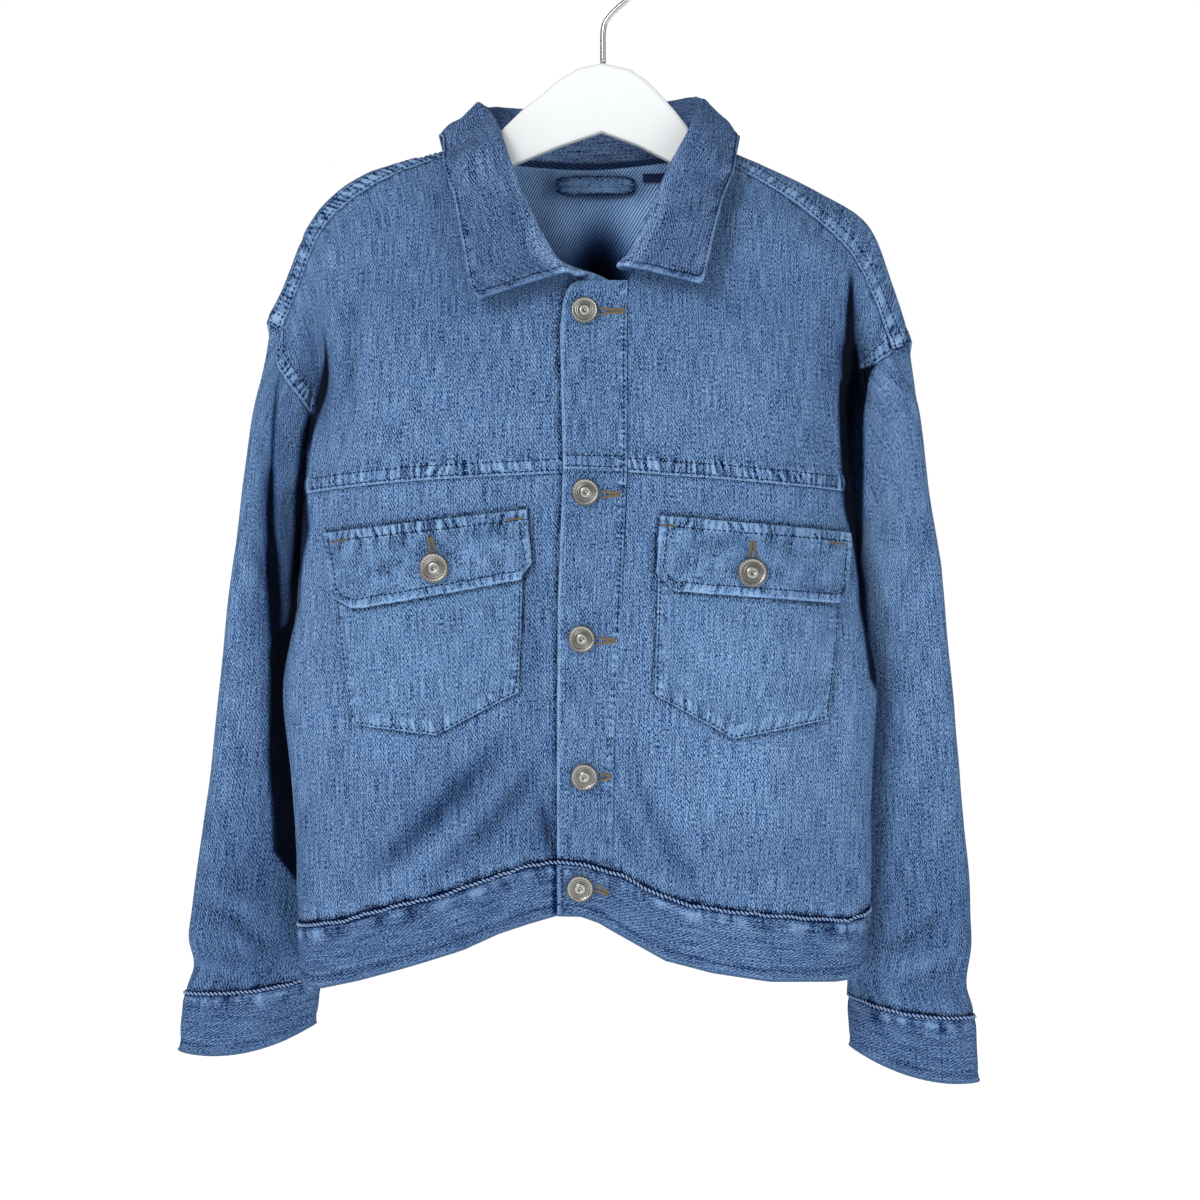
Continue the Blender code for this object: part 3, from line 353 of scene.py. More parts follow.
def stitches(name, lines, material):
    # threads evenly spaced along each line
    parts = []
    for line, facing in lines:
        if len(line) < 3:
            continue
        run = runAlong(line)
        at = np.arange(thread["pitch"] / 2, run[-1], thread["pitch"])
        start, end = (readAt(at + d * thread["length"] / 2, run, line) for d in (-1, 1))
        parts.append(((start + end) / 2, end - start, readAt(at, run, facing)))
    return threads(name, parts, material, thread)


def twisted(name, lines, material, size=laid):
    # a laid cord: short thick strands side by side, each leaning across the line
    parts = []
    for line, facing in lines:
        run = runAlong(line)
        at = np.arange(size["pitch"] / 2, run[-1], size["pitch"])
        spot, ahead, out = readAt(at, run, line), readAt(at + 0.5, run, line), readAt(at, run, facing)
        along = unit(ahead - spot)
        parts.append((spot, along * np.cos(size["lean"]) + np.cross(along, out) * np.sin(size["lean"]), out))
    return threads(name, parts, material, size)


def threads(name, parts, material, size):
    # one spindle each, from its centre, direction and the cloth's: four rings along it, its ends sunk in
    centre, along, out = (np.concatenate(part) for part in zip(*parts))
    sides = thread["sides"]
    along = unit(along)
    side = unit(np.cross(along, out))
    out = unit(np.cross(side, along))
    angle = np.linspace(0, 2 * pi, sides, endpoint=False)
    rings = []
    for share, width, sink in thread["rings"]:
        middle = centre + along * share * size["length"] + out * (size["lift"] + sink)
        ring = side[:, None] * np.cos(angle)[:, None] + out[:, None] * np.sin(angle)[:, None]
        rings.append(middle[:, None] + ring * size["radius"] * width)
    points = np.stack(rings, 1)  # thread, ring, side, xyz
    i, j = np.arange(len(rings) - 1)[:, None], np.arange(sides)[None, :]
    k = (j + 1) % sides
    shell = np.stack([i * sides + j, (i + 1) * sides + j, (i + 1) * sides + k, i * sides + k], -1)
    near = np.array([[0, 1, 2, 3], [0, 3, 4, 4]])  # the two end faces, fanned
    far = np.array([[0, 3, 2, 1], [0, 4, 3, 3]]) + (len(rings) - 1) * sides
    one = np.concatenate([shell.reshape(-1, 4), near, far])
    quads = (one[None] + np.arange(len(points))[:, None, None] * len(rings) * sides).reshape(-1, 4)
    return newMesh(name, shifted(points.reshape(-1, 3)), quads, material)


def layOn(name, surface, flat, lay, material, size):
    # threads laid on a surface at places and in directions given as x, z
    y, out = onMap(depthMap(surface, dense["step"]), flat[:, 0], flat[:, 1])
    centre = np.stack([flat[:, 0], y, flat[:, 1]], -1)
    along = np.stack([lay[:, 0], 0 * y, lay[:, 1]], -1)
    length, radius = size
    return threads(name, [(centre, along, out)], material,
                   {"length": length, "radius": radius, "lift": dense["lift"]})


def bars(name, surface, spots, material):
    # dense threads across short lines, each line x, z to x, z
    places, lays = [], []
    for x0, z0, x1, z1 in spots:
        count = max(3, int(np.hypot(x1 - x0, z1 - z0) / dense["pitch"]))
        share = np.linspace(0, 1, count)
        places.append(np.stack([x0 + (x1 - x0) * share, z0 + (z1 - z0) * share], -1))
        lays.append(np.repeat([[z0 - z1, x1 - x0]], count, axis=0))
    return layOn(name, surface, np.concatenate(places), np.concatenate(lays), material, dense["bar"])


# Each front: a row for every level, from the front edge or neck out to the armhole or side seam.
rightFront = {
    "crest": [(-66, 2, -117.4), (-127, 0, -133.2), (-157.5, 0, -158.6), (-172.3, 1, -191.5),
        (-184.9, 1, -220.4)],
    "shoulder seam": [(-65.7, -8, -118.5), (-119, -9, -139), (-151.2, -9, -165), (-164.8, -7, -196),
        (-176, -4, -225)],
    "neck side": [(-59.8, -13, -131), (-112, -25, -159), (-149, -20, -188), (-161.5, -9, -213),
        (-178.7, -6, -241.5)],
    "collar bone": [(-50, -22, -150), (-110, -35, -183), (-151, -21, -216), (-157, -4, -231),
        (-172.5, -9, -254.5)],
    "chest top": [(-33, -33, -181), (-106, -42, -210), (-151.3, -19, -244), (-154.5, 0, -252),
        (-164.6, -7, -264.8)],
    "neck point": [(16, -43, -203.5), (-102, -47, -236), (-153.5, -17, -269), (-156.8, -6, -273),
        (-159.2, 1, -276)],
    "chest": [(16, -50, -252), (-100, -52, -276), (-158.5, -15, -296), (-160, -6, -298), (-160.4, 2, -299)],
    "yoke seam": [(16, -55, -307), (-98, -54, -313), (-161.2, -15, -319), (-162.2, -6, -320),
        (-162.4, 3, -321)],
    "underarm": [(15, -57, -337), (-98, -55.5, -343), (-163.2, -15, -347), (-164.8, -3, -346), (-165, 9, -345)],
    "pocket": [(14, -58, -374), (-100, -56, -381), (-164, -17, -384), (-167.2, -6, -384), (-167.5, 4, -384)],
    "waist": [(11, -58, -420), (-104, -56, -430), (-171, -17, -433), (-174.6, -8, -433), (-174.9, 2, -433)],
    "hip": [(9, -54, -476), (-101, -52, -489), (-165.5, -15, -497), (-168.8, -7, -497), (-169.1, 1, -497)],
    "waist seam": [(8, -44, -530), (-92, -44, -550), (-163, -14, -566.5), (-166.5, -6, -566.5),
        (-166.8, 0, -566)],
    "hem": [(8, -39, -565), (-92, -39, -587), (-161, -13, -603.5), (-165, -6, -600.5), (-165.6, 0, -599)],
}
leftFront = {
    "crest": [(73, 2, -115.2), (134, 0, -143.4), (163.2, 0, -163.8), (177.8, 1, -197.5), (189.5, 1, -232)],
    "shoulder seam": [(73, -8, -122.8), (122, -13, -152.6), (153.5, -14.5, -182), (165.2, -12, -204),
        (177.5, -6, -235.5)],
    "neck side": [(64, -14, -138), (116, -28, -170), (151.5, -24, -203), (158.5, -9, -217), (176, -8, -238.5)],
    "collar bone": [(50, -24, -155), (113, -36, -194), (152.5, -23, -226), (157, -4, -233),
        (170.6, -9, -241.5)],
    "chest top": [(38, -34, -178), (109, -43, -218), (151.5, -20, -247), (155, 0, -250), (164.2, -7, -249.5)],
    "neck point": [(24.3, -44.5, -202.5), (105, -48, -240), (147.5, -17, -266), (151.5, 1, -268),
        (162.5, -2, -262)],
    "chest": [(23.8, -51.5, -252), (100, -53, -278), (148.5, -14, -292), (152.5, -1, -292), (159, -1, -289)],
    "yoke seam": [(23.8, -56.5, -308), (97, -54.5, -313.5), (150.9, -14, -318), (154, -4, -319),
        (157, 0, -321)],
    "underarm": [(22.8, -58.5, -339), (97, -56, -344), (154.5, -15, -347), (156.5, -1, -346), (157.3, 9, -345)],
    "pocket": [(20.9, -59.5, -376), (98, -57, -381), (156.5, -17, -384), (159.2, -6, -384), (159.6, 4, -384)],
    "waist": [(18.3, -59.5, -422), (102, -57, -430), (165, -17, -433), (168.3, -8, -433), (168.7, 2, -433)],
    "hip": [(16.4, -55.5, -478), (100, -53, -489), (161.5, -15, -497), (165, -7, -497), (165.3, 1, -497)],
    "waist seam": [(15.6, -45.5, -533), (92, -45, -557), (160.5, -14, -561), (164.6, -6, -558),
        (165, 0, -557.5)],
    "hem": [(15.6, -41, -568), (92, -40, -596), (156.5, -13, -598.5), (161.5, -6, -594), (162.5, 0, -592)],
}
# the waistband's two edges across both fronts, as x, z
waistArch = [(-166.8, -566), (-163, -566.5), (-137, -562), (-112.5, -554), (-87.5, -548.5), (-69, -542.3),
    (-50.3, -535.5), (-32, -530), (-16, -527.5), (-1, -528.9), (19.6, -534.8), (39.5, -545.1), (55, -551.1),
    (79, -555), (105, -558.4), (137.5, -561.8), (150.5, -562.5), (160.5, -561), (165, -557.5)]
hemArch = [(-165.6, -599), (-161, -603.5), (-151.5, -603.8), (-130.4, -598.5), (-99.7, -589.4),
    (-69, -579.7), (-50.3, -571.2), (-32.1, -564.9), (-16.2, -560.4), (-2.5, -560.7), (8, -564.5),
    (19.6, -571.2), (45.8, -586), (71.9, -592.8), (104.9, -597.9), (143.5, -599.8), (156.5, -598.5),
    (162.5, -592)]
# each level of the back: half width, its right and left ends where given, then one half inwards
backRows = {
    "shoulder seam": (0, None, None, [(60, 23, -122.5), (0, 38, -126.6)]),
    "crest": (0, None, None, [(62, 27, -129), (0, 43, -134.5)]),
    "shoulder blade": (183, (-183, 12, -238), (187.5, 12, -248),
        [(174, 13, -215), (155, 17, -181), (110, 20, -151), (76, 27, -142), (58, 38, -146), (0, 46, -153)]),
    "upper back": (173, (-173, 20, -266), (174, 20, -270),
        [(165, 23, -248), (149, 25, -222), (108, 35, -197), (77, 41, -186), (52, 46, -184), (0, 48, -187)]),
    "mid back": (162, (-162, 21, -305), (160, 21, -305),
        [(157.5, 26, -296), (146, 33, -283), (106, 43, -267), (77, 47, -260), (52, 50, -256), (0, 51, -255)]),
    "underarm": (165, None, None,
        [(161.5, 18, -345), (149, 31, -345), (106, 46, -345), (78, 51, -345), (52, 53, -345), (0, 54, -345)]),
    "pocket": (167.5, None, None,
        [(165, 12, -384), (153, 27, -384), (108, 45, -383), (79, 50, -382), (52, 53, -381), (0, 54, -380)]),
    "waist": (174.9, None, None,
        [(172, 10, -433), (159, 24, -433), (110, 43, -431), (80, 49, -429), (52, 52, -427), (0, 53, -425)]),
    "hip": (169.1, None, None,
        [(166.5, 8, -497), (154, 20, -496), (108, 38, -492), (80, 43, -487), (52, 46, -482), (0, 47, -478)]),
    "waist seam": (166.8, None, None,
        [(164.5, 6, -561.5), (152, 17, -559), (106, 31, -549), (80, 35, -541), (52, 38, -531), (0, 39, -522)]),
    "hem": (165.6, None, None,
        [(163.5, 6, -595.5), (151, 16, -593.5), (105, 29, -585), (80, 33, -577), (52, 36, -567), (0, 37, -557)]),
}

body = {
    "cloth": 1.2,  # one layer of denim
    "underlap": 0.6,  # how far a yoke runs past its seam
    "columns": (80, 44, 14, 12),  # neck to middle, fold edge, hollow, armhole or side seam
    "yokeSteps": (10, 12, 14, 14, 20, 22),
    "lowerSteps": (14, 18, 24, 28, 30),
    "backColumns": (44, 28, 12, 10),
    "neckColumns": (10, 20),
    "topSteps": (4, 6, 12, 22, 26),
    "backLower": (10, 12, 16, 20, 20),
    "stitchRows": (1.7, 7.8),  # double rows of topstitching, from a lapped edge
    "bulk": 0.75,  # how far a lapped, turned edge stands up
    "darkest": -0.985,  # the deepest painted shade in the tone
    "fall": 3.2,  # how softly a front drops into the shade beside the sleeve
    "meet": 0.2,  # two walls share a direction where theirs agree by more than this
}


def frontLines(front):
    # the levels between the crest and the hem
    return [front[level] for level in front][1:-1]


def archedTo(line, arch):
    # heights follow an arch given as x, z
    line = line.copy()
    line[:, 2] = np.interp(line[:, 0], [x for x, _ in arch], [z for _, z in arch])
    return line


def frontGrid(front, columns, steps):
    lines = np.stack([through(row, columns) for row in frontLines(front)])
    lines[-1] = archedTo(lines[-1], waistArch)
    return through(lines, steps)


def sideways(point, scale):
    return (point[0] * scale, point[1], point[2])


def backHalf(front, level, width, seam, half, sign):
    # the neck edge and the crest are the front's own; lower rows stretch to the side seam
    if not width:
        return front[level][::-1] + [sideways(half[0], sign)]
    seam = seam or front[level][-1]
    stretch = sign * abs(seam[0]) / width
    return [seam] + [sideways(point, stretch) for point in half[:-1]]


def backLine(level, columns, neckColumns):
    width, right, left, half = backRows[level]
    keys = (backHalf(rightFront, level, width, right, half, -1) + [half[-1]]
            + backHalf(leftFront, level, width, left, half, 1)[::-1])
    side, neck = columns[::-1], neckColumns + neckColumns[::-1]
    if width:
        return through(keys, side + neck + columns)
    corner = len(columns)  # the neck edge meets the shoulder at a corner
    return np.concatenate([through(keys[:corner + 1], side)[:-1], through(keys[corner:-corner], neck),
                           through(keys[-corner - 1:], columns)[1:]])


def meet(first, second):
    # where two cloths run on into each other they share one wall direction
    together = np.sum(first * second, axis=-1, keepdims=True) > body["meet"]
    middle = unit(first + second)
    return np.where(together, middle, first), np.where(together, middle, second)


def bodyGrids(columns, neckColumns, yokeSteps, topSteps, lowerSteps):
    right = frontGrid(rightFront, columns, yokeSteps + lowerSteps)
    left = frontGrid(leftFront, columns, yokeSteps + lowerSteps)
    levels = [level for level in backRows if level != "hem"]
    back = through(np.stack([backLine(level, columns, neckColumns) for level in levels]),
                   topSteps + lowerSteps[1:])
    side, low = right.shape[1], sum(lowerSteps[1:]) + 1
    back[0, :side], back[0, -side:] = right[0, ::-1], left[0]
    back[-low:, 0], back[-low:, -1] = right[-low:, -1], left[-low:, -1]
    rightOut, leftOut, backOut = -gridNormals(right), gridNormals(left), -gridNormals(back)
    backOut[0, :side], rightOut[0, ::-1] = meet(backOut[0, :side], rightOut[0, ::-1])
    backOut[0, -side:], leftOut[0] = meet(backOut[0, -side:], leftOut[0])
    backOut[-low:, 0], rightOut[-low:, -1] = meet(backOut[-low:, 0], rightOut[-low:, -1])
    backOut[-low:, -1], leftOut[-low:, -1] = meet(backOut[-low:, -1], leftOut[-low:, -1])
    return {"right": (right, rightOut), "left": (left, leftOut), "back": (back, backOut)}


seams = {  # pairs are height or depth, then width or length
    "past": 2.4, "ease": 2.2,  # a turned edge ends this far past its last row, over this width
    "rim": (0.45, 0.8), "groove": (0.36, 0.85), "gather": 0.62,
    "foldReach": 7.0, "foldLength": 5.2, "pucker": 0.55,
    "wave": 4.1, "swayLength": 8.0, "sway": 2.6, "leanLength": 14.0, "grain": 1.9, "swell": 24.0,
    "blotch": 1.5,
    "dip": (0.25, 1.6), "underReach": 7.5, "shortReach": 4.0,  # the edge that runs under
}


def alongside(e, edge):
    # distance from an edge, and length along it
    return e[edge], e["down" if edge in ("first", "last", "sides") else "across"]


def lapped(e, edge, seed, rows=None, bulk=None, pucker=seams["pucker"]):
    # a turned edge on top: thicker, grooved under its stitch rows, gathered between them
    distance, along = alongside(e, edge)
    rows = body["stitchRows"] if rows is None else rows
    bulk = body["bulk"] if bulk is None else bulk
    reach = rows[-1] + seams["past"]
    deep, wide = seams["rim"]
    lift = bulk * smooth((reach - distance) / seams["ease"]) - deep * hill(distance, wide)
    between = smooth((distance - rows[0] + 0.5) / 1.5) * smooth((rows[-1] + 1.2 - distance) / 1.5)
    lift += seams["gather"] * between * ladder(distance, along, seed)
    deep, wide = seams["groove"]
    lift -= sum(deep * hill(distance - row, wide) for row in rows)
    folds = noise1(along / seams["foldLength"], seed + 1)
    return lift + pucker * folds * hill(distance - rows[-1], seams["foldReach"])


def ladder(distance, along, seed):
    # uneven gathers between two stitch rows: a wandering sine with random heights, leaning to and fro
    lean = 0.5 * noise1(along / seams["leanLength"], seed + 7)
    wave = np.sin(2 * pi * along / seams["wave"] + seams["sway"] * noise1(along / seams["swayLength"], seed + 8)
                  + lean * distance)
    return (0.62 * wave + 0.75 * noise1(along / seams["grain"] + lean * distance, seed)) * (
        0.8 + 0.35 * noise1(along / seams["swell"], seed + 5))


def blotches(e, edge, seed, rows=None):
    # dye worn off the gathers and kept between them, as worn and shade
    distance, along = alongside(e, edge)
    rows = body["stitchRows"] if rows is None else rows
    between = smooth((distance - 0.3) / 1.0) * smooth((rows[-1] + 1.6 - distance) / 1.4)
    field = between * ladder(distance, along, seed)
    return highs(field) * seams["blotch"], highs(-field) * seams["blotch"]


def tucked(e, edge, seed, pucker=0.5):
    # the edge that runs under: it dips to the seam and gathers in short folds
    distance, along = alongside(e, edge)
    length = seams["foldLength"]
    return (-seams["dip"][0] * hill(distance, seams["dip"][1])
            + pucker * noise1(along / length, seed + 1) * hill(distance, seams["underReach"])
            + 0.4 * pucker * noise1(along * 2 / length, seed + 2) * hill(distance, seams["shortReach"]))


# bent folds of the fronts and the back: x, z of three points, width, height
frontCreases = {
    "right": [(-150, -232, -149.5, -254, -154, -272, 3.5, -1.7),
        (-143, -215, -141.5, -250, -146, -285, 5, 1.4), (-134, -200, -133, -240, -136, -290, 6, -1.0),
        (-124, -195, -124, -235, -128, -280, 6, 0.8), (-52, -468, -82, -497, -128, -546, 9, -1.6),
        (-44, -474, -64, -506, -102, -542, 7, 1.3), (-34, -478, -47, -500, -80, -530, 7, -1.2),
        (-150, -420, -152, -470, -146, -520, 7, 1.4), (-34, -385, -30, -420, -34, -470, 8, -1.1),
        (-110, -240, -70, -262, -20, -280, 14, 0.9), (-120, -290, -80, -275, -48, -250, 10, -0.7),
        (-24, -496, -21, -514, -17, -530, 4, -1.2)],
    "left": [(152.2, -196, 152.2, -230, 152.5, -264, 3.6, -1.9), (146, -195, 145, -235, 143, -290, 4.5, 1.5),
        (136, -200, 136, -240, 134, -295, 6, -1.1), (126, -205, 126, -245, 122, -285, 6, 0.8),
        (26, -468, 37, -500, 64, -552, 8, -1.3), (40, -470, 54, -505, 84, -554, 9, 1.2),
        (19, -498, 23, -512, 30, -530, 6, -1.0), (150, -420, 150, -470, 146, -520, 7, 1.4),
        (32, -385, 30, -425, 34, -470, 8, -1.0), (110, -250, 74, -266, 36, -276, 14, 0.9),
        (118, -292, 84, -276, 52, -256, 10, -0.7)],
}
backCreases = [(-120, -430, -90, -470, -60, -530, 12, 1.4), (120, -425, 94, -470, 70, -530, 12, 1.3),
    (-150, -200, -130, -250, -120, -330, 11, -1.2), (150, -200, 132, -255, 120, -330, 11, -1.2),
    (-30, -400, -10, -460, -16, -530, 14, 1.0), (-140, -360, -120, -380, -80, -390, 10, 1.1),
    (140, -355, 118, -380, 78, -392, 10, 1.0), (20, -120, 0, -180, 16, -260, 16, 0.8)]

# soft lighter and darker ovals in the colour, fades and painted shade: x, z, half width, half height, amount
frontTones = {
    "right": [(-60, -215, 60, 26, -0.12), (-118, -200, 26, 30, -0.10), (-80, -500, 70, 40, -0.30),
        (-160, -410, 9, 70, 0.16), (-30, -400, 10, 50, -0.20), (-150, -470, 12, 50, -0.02),
        (-90, -290, 50, 16, 0.06), (-26, -512, 12, 26, -0.2), (-118, -474, 26, 34, 0.14),
        (-164, -538, 9, 26, -0.22)],
    "left": [(60, -210, 50, 24, -0.12), (120, -235, 26, 30, -0.06), (70, -525, 70, 20, -0.16),
        (84, -485, 44, 32, 0.20), (32, -420, 10, 60, 0.08), (148, -440, 14, 60, 0.14)],
}
# painted shadow in the folds beside the sleeve, and a little painted light on their ridges: bent lines, width,
# amount
sideShades = {
    "right": [(-150.2, -224, -149.8, -246, -152, -264, 1.5, -1.0),
        (-150.8, -246, -153, -262, -157, -282, 3.4, -1.3), (-144, -240, -146, -262, -150, -290, 6, -0.3),
        (-136, -205, -137, -245, -136, -285, 7, -0.18), (-24, -496, -21, -514, -17, -530, 4.0, -0.42),
        (-44, -456, -80, -497, -138, -552, 7, -0.40), (-30, -470, -46, -500, -88, -540, 6.5, -0.30),
        (-58, -492, -80, -516, -112, -540, 5, 0.16), (-168, -330, -172, -400, -174, -470, 3, -0.3)],
    "left": [(152.2, -192, 152.2, -206, 152.4, -224, 2.0, -1.1),
        (152.5, -208, 152.6, -228, 152.4, -250, 4.0, -1.3), (152.4, -232, 152.3, -248, 152, -272, 6.4, -1.6),
        (144.5, -205, 143, -235, 140, -270, 6, -0.35), (24, -456, 37, -500, 70, -560, 8, -0.26),
        (18, -490, 23, -512, 34, -538, 5, -0.22)],
}
# past this line each front is painted dark, the shadow beside the sleeve: z, x
sideShadowLine = {
    "right": [(-262, -190), (-268, -168), (-272, -157), (-277, -153.4), (-284, -154.6), (-298, -158.2),
        (-312, -160), (-327, -157.8), (-341, -156.8), (-355, -160.2), (-369, -162.6), (-384, -164.3),
        (-398, -168), (-412, -185)],
    "left": [(-236, 190), (-244, 166), (-250, 149), (-256, 143.6), (-270, 142.4), (-285, 143.2),
        (-299, 144.4), (-313, 145.6), (-327, 146.2), (-341, 150), (-355, 153), (-370, 155.2), (-384, 155.2),
        (-398, 158), (-412, 159.6), (-426, 161.4), (-445, 175)],
}
# painted shadow inside the neck and round the loop and the label: x, z, half width, half height, amount
neckShadows = [(8, -188, 12, 24, -5), (8, -208, 26, 23, -5), (5.5, -139, 27, 6, -0.6),
    (-21, -134, 5, 8, -0.7), (32, -135, 5, 8, -0.5)]


def frontWaves(grid, side):
    # soft waves of the whole front and its creases, dying out under the collar
    x, z = grid[..., 0], grid[..., 2]
    seed = 11 if side == "right" else 21
    waves = 0.55 * noise2(x / 36, z / 55, seed) + 0.32 * noise2(x / 15, z / 24, seed + 1)
    return smooth((-z - 190) / 40) * (waves + creases(x, z, frontCreases[side]))


def flapOutline(side):
    # its foot, then the ends of its head
    flap = flaps[side]
    return [tuple(point[1:]) for point in flap["foot"]] + [flap["top"][1], flap["top"][0]]


def pocketOutline(side):
    # its foot, then up one side, across the head and down the other
    patch = pockets[side]
    return list(patch["foot"]) + [patch["side"][1], patch["top"][1], patch["top"][0], patch["side"][0]]


def yokeFinish(g, e, lift, seed):
    # lapped over the front and, at the armhole, over the sleeve; tucked under the shoulder
    lift += lapped(e, "bottom", seed) + lapped(e, "last", seed + 10)
    lift += tucked(e, "top", seed + 20)
    foot, armhole = blotches(e, "bottom", seed), blotches(e, "last", seed + 10)
    worn = foot[0] + 0.6 * armhole[0] + 1.2 * hill(e["bottom"], 1.0) + 1.2 * hill(e["last"], 1.0)
    shade = foot[1] + 0.8 * armhole[1] + 0.9 * hill(e["top"], 1.2)
    g[-1] += unit(g[-1] - g[-2]) * body["underlap"]
    return lift, worn, shade


def frontFinish(g, e, lift, side, seed):
    # tucked under yoke and waistband, its armhole lapped; shaded round the pocket and its flap
    lift += tucked(e, "top", seed, 0.55)
    under = smooth((40 - e["top"]) / 8)
    lift += under * lapped(e, "last", seed + 30) + (1 - under) * tucked(e, "last", seed + 40, 0.4)
    lift += tucked(e, "bottom", seed + 50, 0.9)
    gather = blotches(e, "last", seed + 30)
    worn = under * (0.45 * gather[0] + 0.6 * hill(e["last"], 1.0))
    shade = under * gather[1] + 1.5 * hill(e["top"] - 0.6, 1.1) + 1.6 * hill(e["bottom"] - 0.4, 1.3)
    for corners in (pocketOutline(side), flapOutline(side)):
        gap = outlineGap(g[..., 0], g[..., 2], corners)
        shade = shade + 0.9 * hill(gap, 1.6)
        lift = lift - 0.25 * hill(gap, 2.2)
    return lift, worn, shade


def lapEdge(z, side):
    # the placket's edge at a height: side 1 is its free edge, side 2 the sewn one
    return np.interp(-z, [-row[0] for row in placketLap], [row[side] for row in placketLap])


def makeFronts(fine, denim):
    seam = sum(body["yokeSteps"])
    made = {}
    for side, flip, seed in (("right", True, 101), ("left", False, 201)):
        grid, out = fine[side]
        waves = frontWaves(grid, side)
        for name, part, yoke in (("yoke_", slice(0, seam + 1), True), ("front_", slice(seam, None), False)):
            g, lift = grid[part].copy(), waves[part].copy()
            e = edges(g)
            lift, worn, shade = yokeFinish(g, e, lift, seed) if yoke else frontFinish(g, e, lift, side, seed)
            x, z = g[..., 0], g[..., 2]
            if side == "right":  # the lap's own shadow
                shade = shade + 1.5 * hill(x - lapEdge(z, 1) + 0.6, 1.7) * (0.8 + 0.4 * noise1(z / 4, 441))
            tone = patches(x, z, frontTones[side]) + creases(x, z, sideShades[side])
            # painted shadow past the side line, held above the darkest painted shade
            past = beyond(np.abs(x), z, [(level, abs(at)) for level, at in sideShadowLine[side]], body["fall"])
            tone = np.maximum(tone - past, body["darkest"])
            made[name + side] = cloth(name + side + "_cloth", g, out[part], body["cloth"], denim, lift, worn,
                                      shade, tone, flip=flip, start=g[:, :1, 0] * (-1 if flip else 1),
                                      foot=yoke)
    return made


def makeBack(rough, denim):
    # one panel, lapped over the fronts at the shoulders and the sides; its inner face lightened all over by
    # painted light, with painted shadow inside the neck
    grid, out = rough["back"]
    e = edges(grid)
    x, z = grid[..., 0], grid[..., 2]
    lift = 0.7 * noise2(x / 40, z / 60, 31) + 0.4 * noise2(x / 17, z / 26, 32)
    lift += creases(x, z, backCreases)
    lift *= smooth(e["top"] / 30)
    shoulder = smooth((np.abs(x) - 62) / 6)
    lift += shoulder * lapped(e, "top", 301)
    low = smooth((-z - 350) / 10)  # from the underarm down the side seam is flatter
    top = blotches(e, "top", 301)
    worn = shoulder * (top[0] + 0.8 * hill(e["top"], 1.0))
    shade = shoulder * top[1] + 0.9 * hill(e["bottom"], 1.6)
    for side, key in (("first", 311), ("last", 321)):
        lift += (1 - low) * lapped(e, side, key)
        lift += low * lapped(e, side, key + 3, pucker=0.4)
        gather = blotches(e, side, key)
        worn, shade = worn + gather[0] + 0.5 * hill(e[side], 1.0), shade + gather[1]
    lift += tucked(e, "bottom", 331, 0.9)
    middle = grid.shape[1] // 2
    return cloth("back_cloth", grid, out, body["cloth"], denim, lift, worn, shade, flip=True, foot=True,
                 # the inner face: painted light all over, painted shadow inside the neck
                 inside=np.exp(patches(x, z, neckShadows) + 0.6) - 1,
                 start=-e["across"][:, middle:middle + 1])


def depthMap(rows, step=1.4):
    # y over a lattice: along each row against x, then down each column against z
    if rows[0, 0, 0] > rows[0, -1, 0]:
        rows = rows[:, ::-1]
    xs = np.arange(rows[..., 0].min(), rows[..., 0].max(), step)
    y = np.stack([np.interp(xs, line[:, 0], line[:, 1]) for line in rows])
    z = np.stack([np.interp(xs, line[:, 0], line[:, 2]) for line in rows])
    zs = np.arange(-rows[..., 2].max(), -rows[..., 2].min(), step)
    depth = np.stack([np.interp(zs, -z[:, k], y[:, k]) for k in range(len(xs))])
    return xs[0], zs[0], step, depth


def onMap(chart, x, z):
    # bilinear reading of the depth and the outward direction there
    x0, z0, step, depth = chart
    i = np.clip((x - x0) / step, 0, depth.shape[0] - 1.001)
    j = np.clip((-z - z0) / step, 0, depth.shape[1] - 1.001)
    a, b = i.astype(int), j.astype(int)
    t, u = i - a, j - b
    p, q, r, s = depth[a, b], depth[a + 1, b], depth[a, b + 1], depth[a + 1, b + 1]
    y = (p * (1 - t) + q * t) * (1 - u) + (r * (1 - t) + s * t) * u
    slopeX = ((q - p) * (1 - u) + (s - r) * u) / step
    slopeZ = -((r - p) * (1 - t) + (s - q) * t) / step
    return y, unit(np.stack([slopeX, -np.ones_like(y), slopeZ], -1))


# the placket: z, its free edge and its sewn edge
placketLap = [(-199.5, -4.5, 24), (-201.5, -8, 24), (-206, -11, 24), (-213, -12.9, 23.9),
    (-228, -14.4, 23.5), (-305, -12.6, 23.5), (-381, -15.4, 20.6), (-465, -16, 16.1), (-526.5, -16.1, 15.3)]
placket = {
    "thick": 1.6, "gap": 0.7, "clear": 0.3,
    "short": 7.0,  # the covered front stops this far inside the edge
    "columns": 30, "rows": 260, "topRows": 12, "round": 30,
    "seam": 0.3, "seamAt": (-306.8, -307.6), "seamEnds": (-15, 24),  # the yoke seam runs on across it
    "foot": -500,  # below this it is drawn to the waist seam
    "row": 1.8, "rowBulk": 0.35,
    "tones": [(-4, -520, 30, 50, -0.18), (-4, -300, 30, 120, -0.10)],
}


